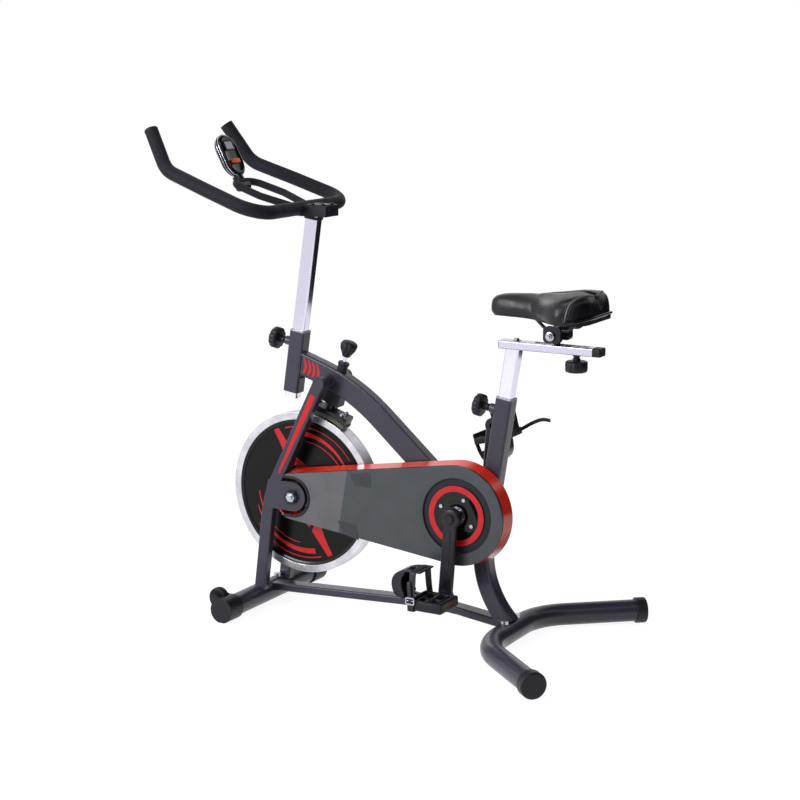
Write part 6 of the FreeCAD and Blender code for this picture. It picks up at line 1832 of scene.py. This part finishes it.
class SPINBIKE_OT_handlebar(bpy.types.Operator):
    """Make the bar end plugs, the stem's hardware and the post's collar"""
    bl_idname = "spinbike.handlebar"
    bl_label = "Handlebar"

    def execute(self, context):
        return run(make_handlebar)


class SPINBIKE_OT_console(bpy.types.Operator):
    """Make the console shell, its display, trim and key"""
    bl_idname = "spinbike.console"
    bl_label = "Console"

    def execute(self, context):
        return run(make_console)


class SPINBIKE_OT_cover(bpy.types.Operator):
    """Make the gasket, film, dished plate and ring of the belt cover"""
    bl_idname = "spinbike.cover"
    bl_label = "Belt cover"

    def execute(self, context):
        return run(make_cover)


class SPINBIKE_OT_flywheel(bpy.types.Operator):
    """Make the films and rings on the flywheel"""
    bl_idname = "spinbike.flywheel"
    bl_label = "Flywheel"

    def execute(self, context):
        return run(make_flywheel)


class SPINBIKE_OT_welds(bpy.types.Operator):
    """Make the weld beads between the tubes"""
    bl_idname = "spinbike.welds"
    bl_label = "Welds"

    def execute(self, context):
        return run(make_welds)


class SPINBIKE_OT_decals(bpy.types.Operator):
    """Make the red film on the fork and the main tube"""
    bl_idname = "spinbike.decals"
    bl_label = "Decals"

    def execute(self, context):
        return run(make_decals)


class SPINBIKE_OT_feet(bpy.types.Operator):
    """Make the ribs of the stabilizer caps"""
    bl_idname = "spinbike.feet"
    bl_label = "Feet"

    def execute(self, context):
        return run(make_feet)


class SPINBIKE_OT_wheels(bpy.types.Operator):
    """Make the tyres and hubs of the transport wheels"""
    bl_idname = "spinbike.wheels"
    bl_label = "Transport wheels"

    def execute(self, context):
        return run(make_wheels)


class SPINBIKE_OT_slide(bpy.types.Operator):
    """Make the slide bar's bolt and end plugs and the saddle clamp's nuts"""
    bl_idname = "spinbike.slide"
    bl_label = "Slide bar"

    def execute(self, context):
        return run(make_slide)


class SPINBIKE_OT_stage(bpy.types.Operator):
    """Make the floor, the lights, the world and the camera"""
    bl_idname = "spinbike.stage"
    bl_label = "Stage"

    def execute(self, context):
        return run(make_stage)


STEPS = (
    SPINBIKE_OT_finishes,
    SPINBIKE_OT_saddle,
    SPINBIKE_OT_knobs,
    SPINBIKE_OT_brake,
    SPINBIKE_OT_cranks,
    SPINBIKE_OT_pedals,
    SPINBIKE_OT_handlebar,
    SPINBIKE_OT_console,
    SPINBIKE_OT_cover,
    SPINBIKE_OT_flywheel,
    SPINBIKE_OT_welds,
    SPINBIKE_OT_decals,
    SPINBIKE_OT_feet,
    SPINBIKE_OT_wheels,
    SPINBIKE_OT_slide,
    SPINBIKE_OT_stage,
)


class SPINBIKE_PT_panel(bpy.types.Panel):
    """Lists the steps that dress the bike"""
    bl_idname = "SPINBIKE_PT_panel"
    bl_label = "Spin Bike"
    bl_space_type = "VIEW_3D"
    bl_region_type = "UI"
    bl_category = "Spin Bike"

    def draw(self, context):
        scene = context.scene
        for group in (scene.spin_bike_sizes, scene.spin_bike_colours):
            box = self.layout.box()
            for key in group.__annotations__:
                box.prop(group, key)
        for step in STEPS:
            self.layout.operator(step.bl_idname)


CLASSES = (SpinBikeSizes, SpinBikeColours, *STEPS, SPINBIKE_PT_panel)


def register():
    for item in CLASSES:
        bpy.utils.register_class(item)
    bpy.types.Scene.spin_bike_sizes = PointerProperty(type=SpinBikeSizes)
    bpy.types.Scene.spin_bike_colours = PointerProperty(type=SpinBikeColours)


def unregister():
    del bpy.types.Scene.spin_bike_colours
    del bpy.types.Scene.spin_bike_sizes
    for item in reversed(CLASSES):
        bpy.utils.unregister_class(item)


def main():
    register()
    for step in STEPS:
        family, _, name = step.bl_idname.partition(".")
        getattr(getattr(bpy.ops, family), name)()


if __name__ == "__main__":
    main()
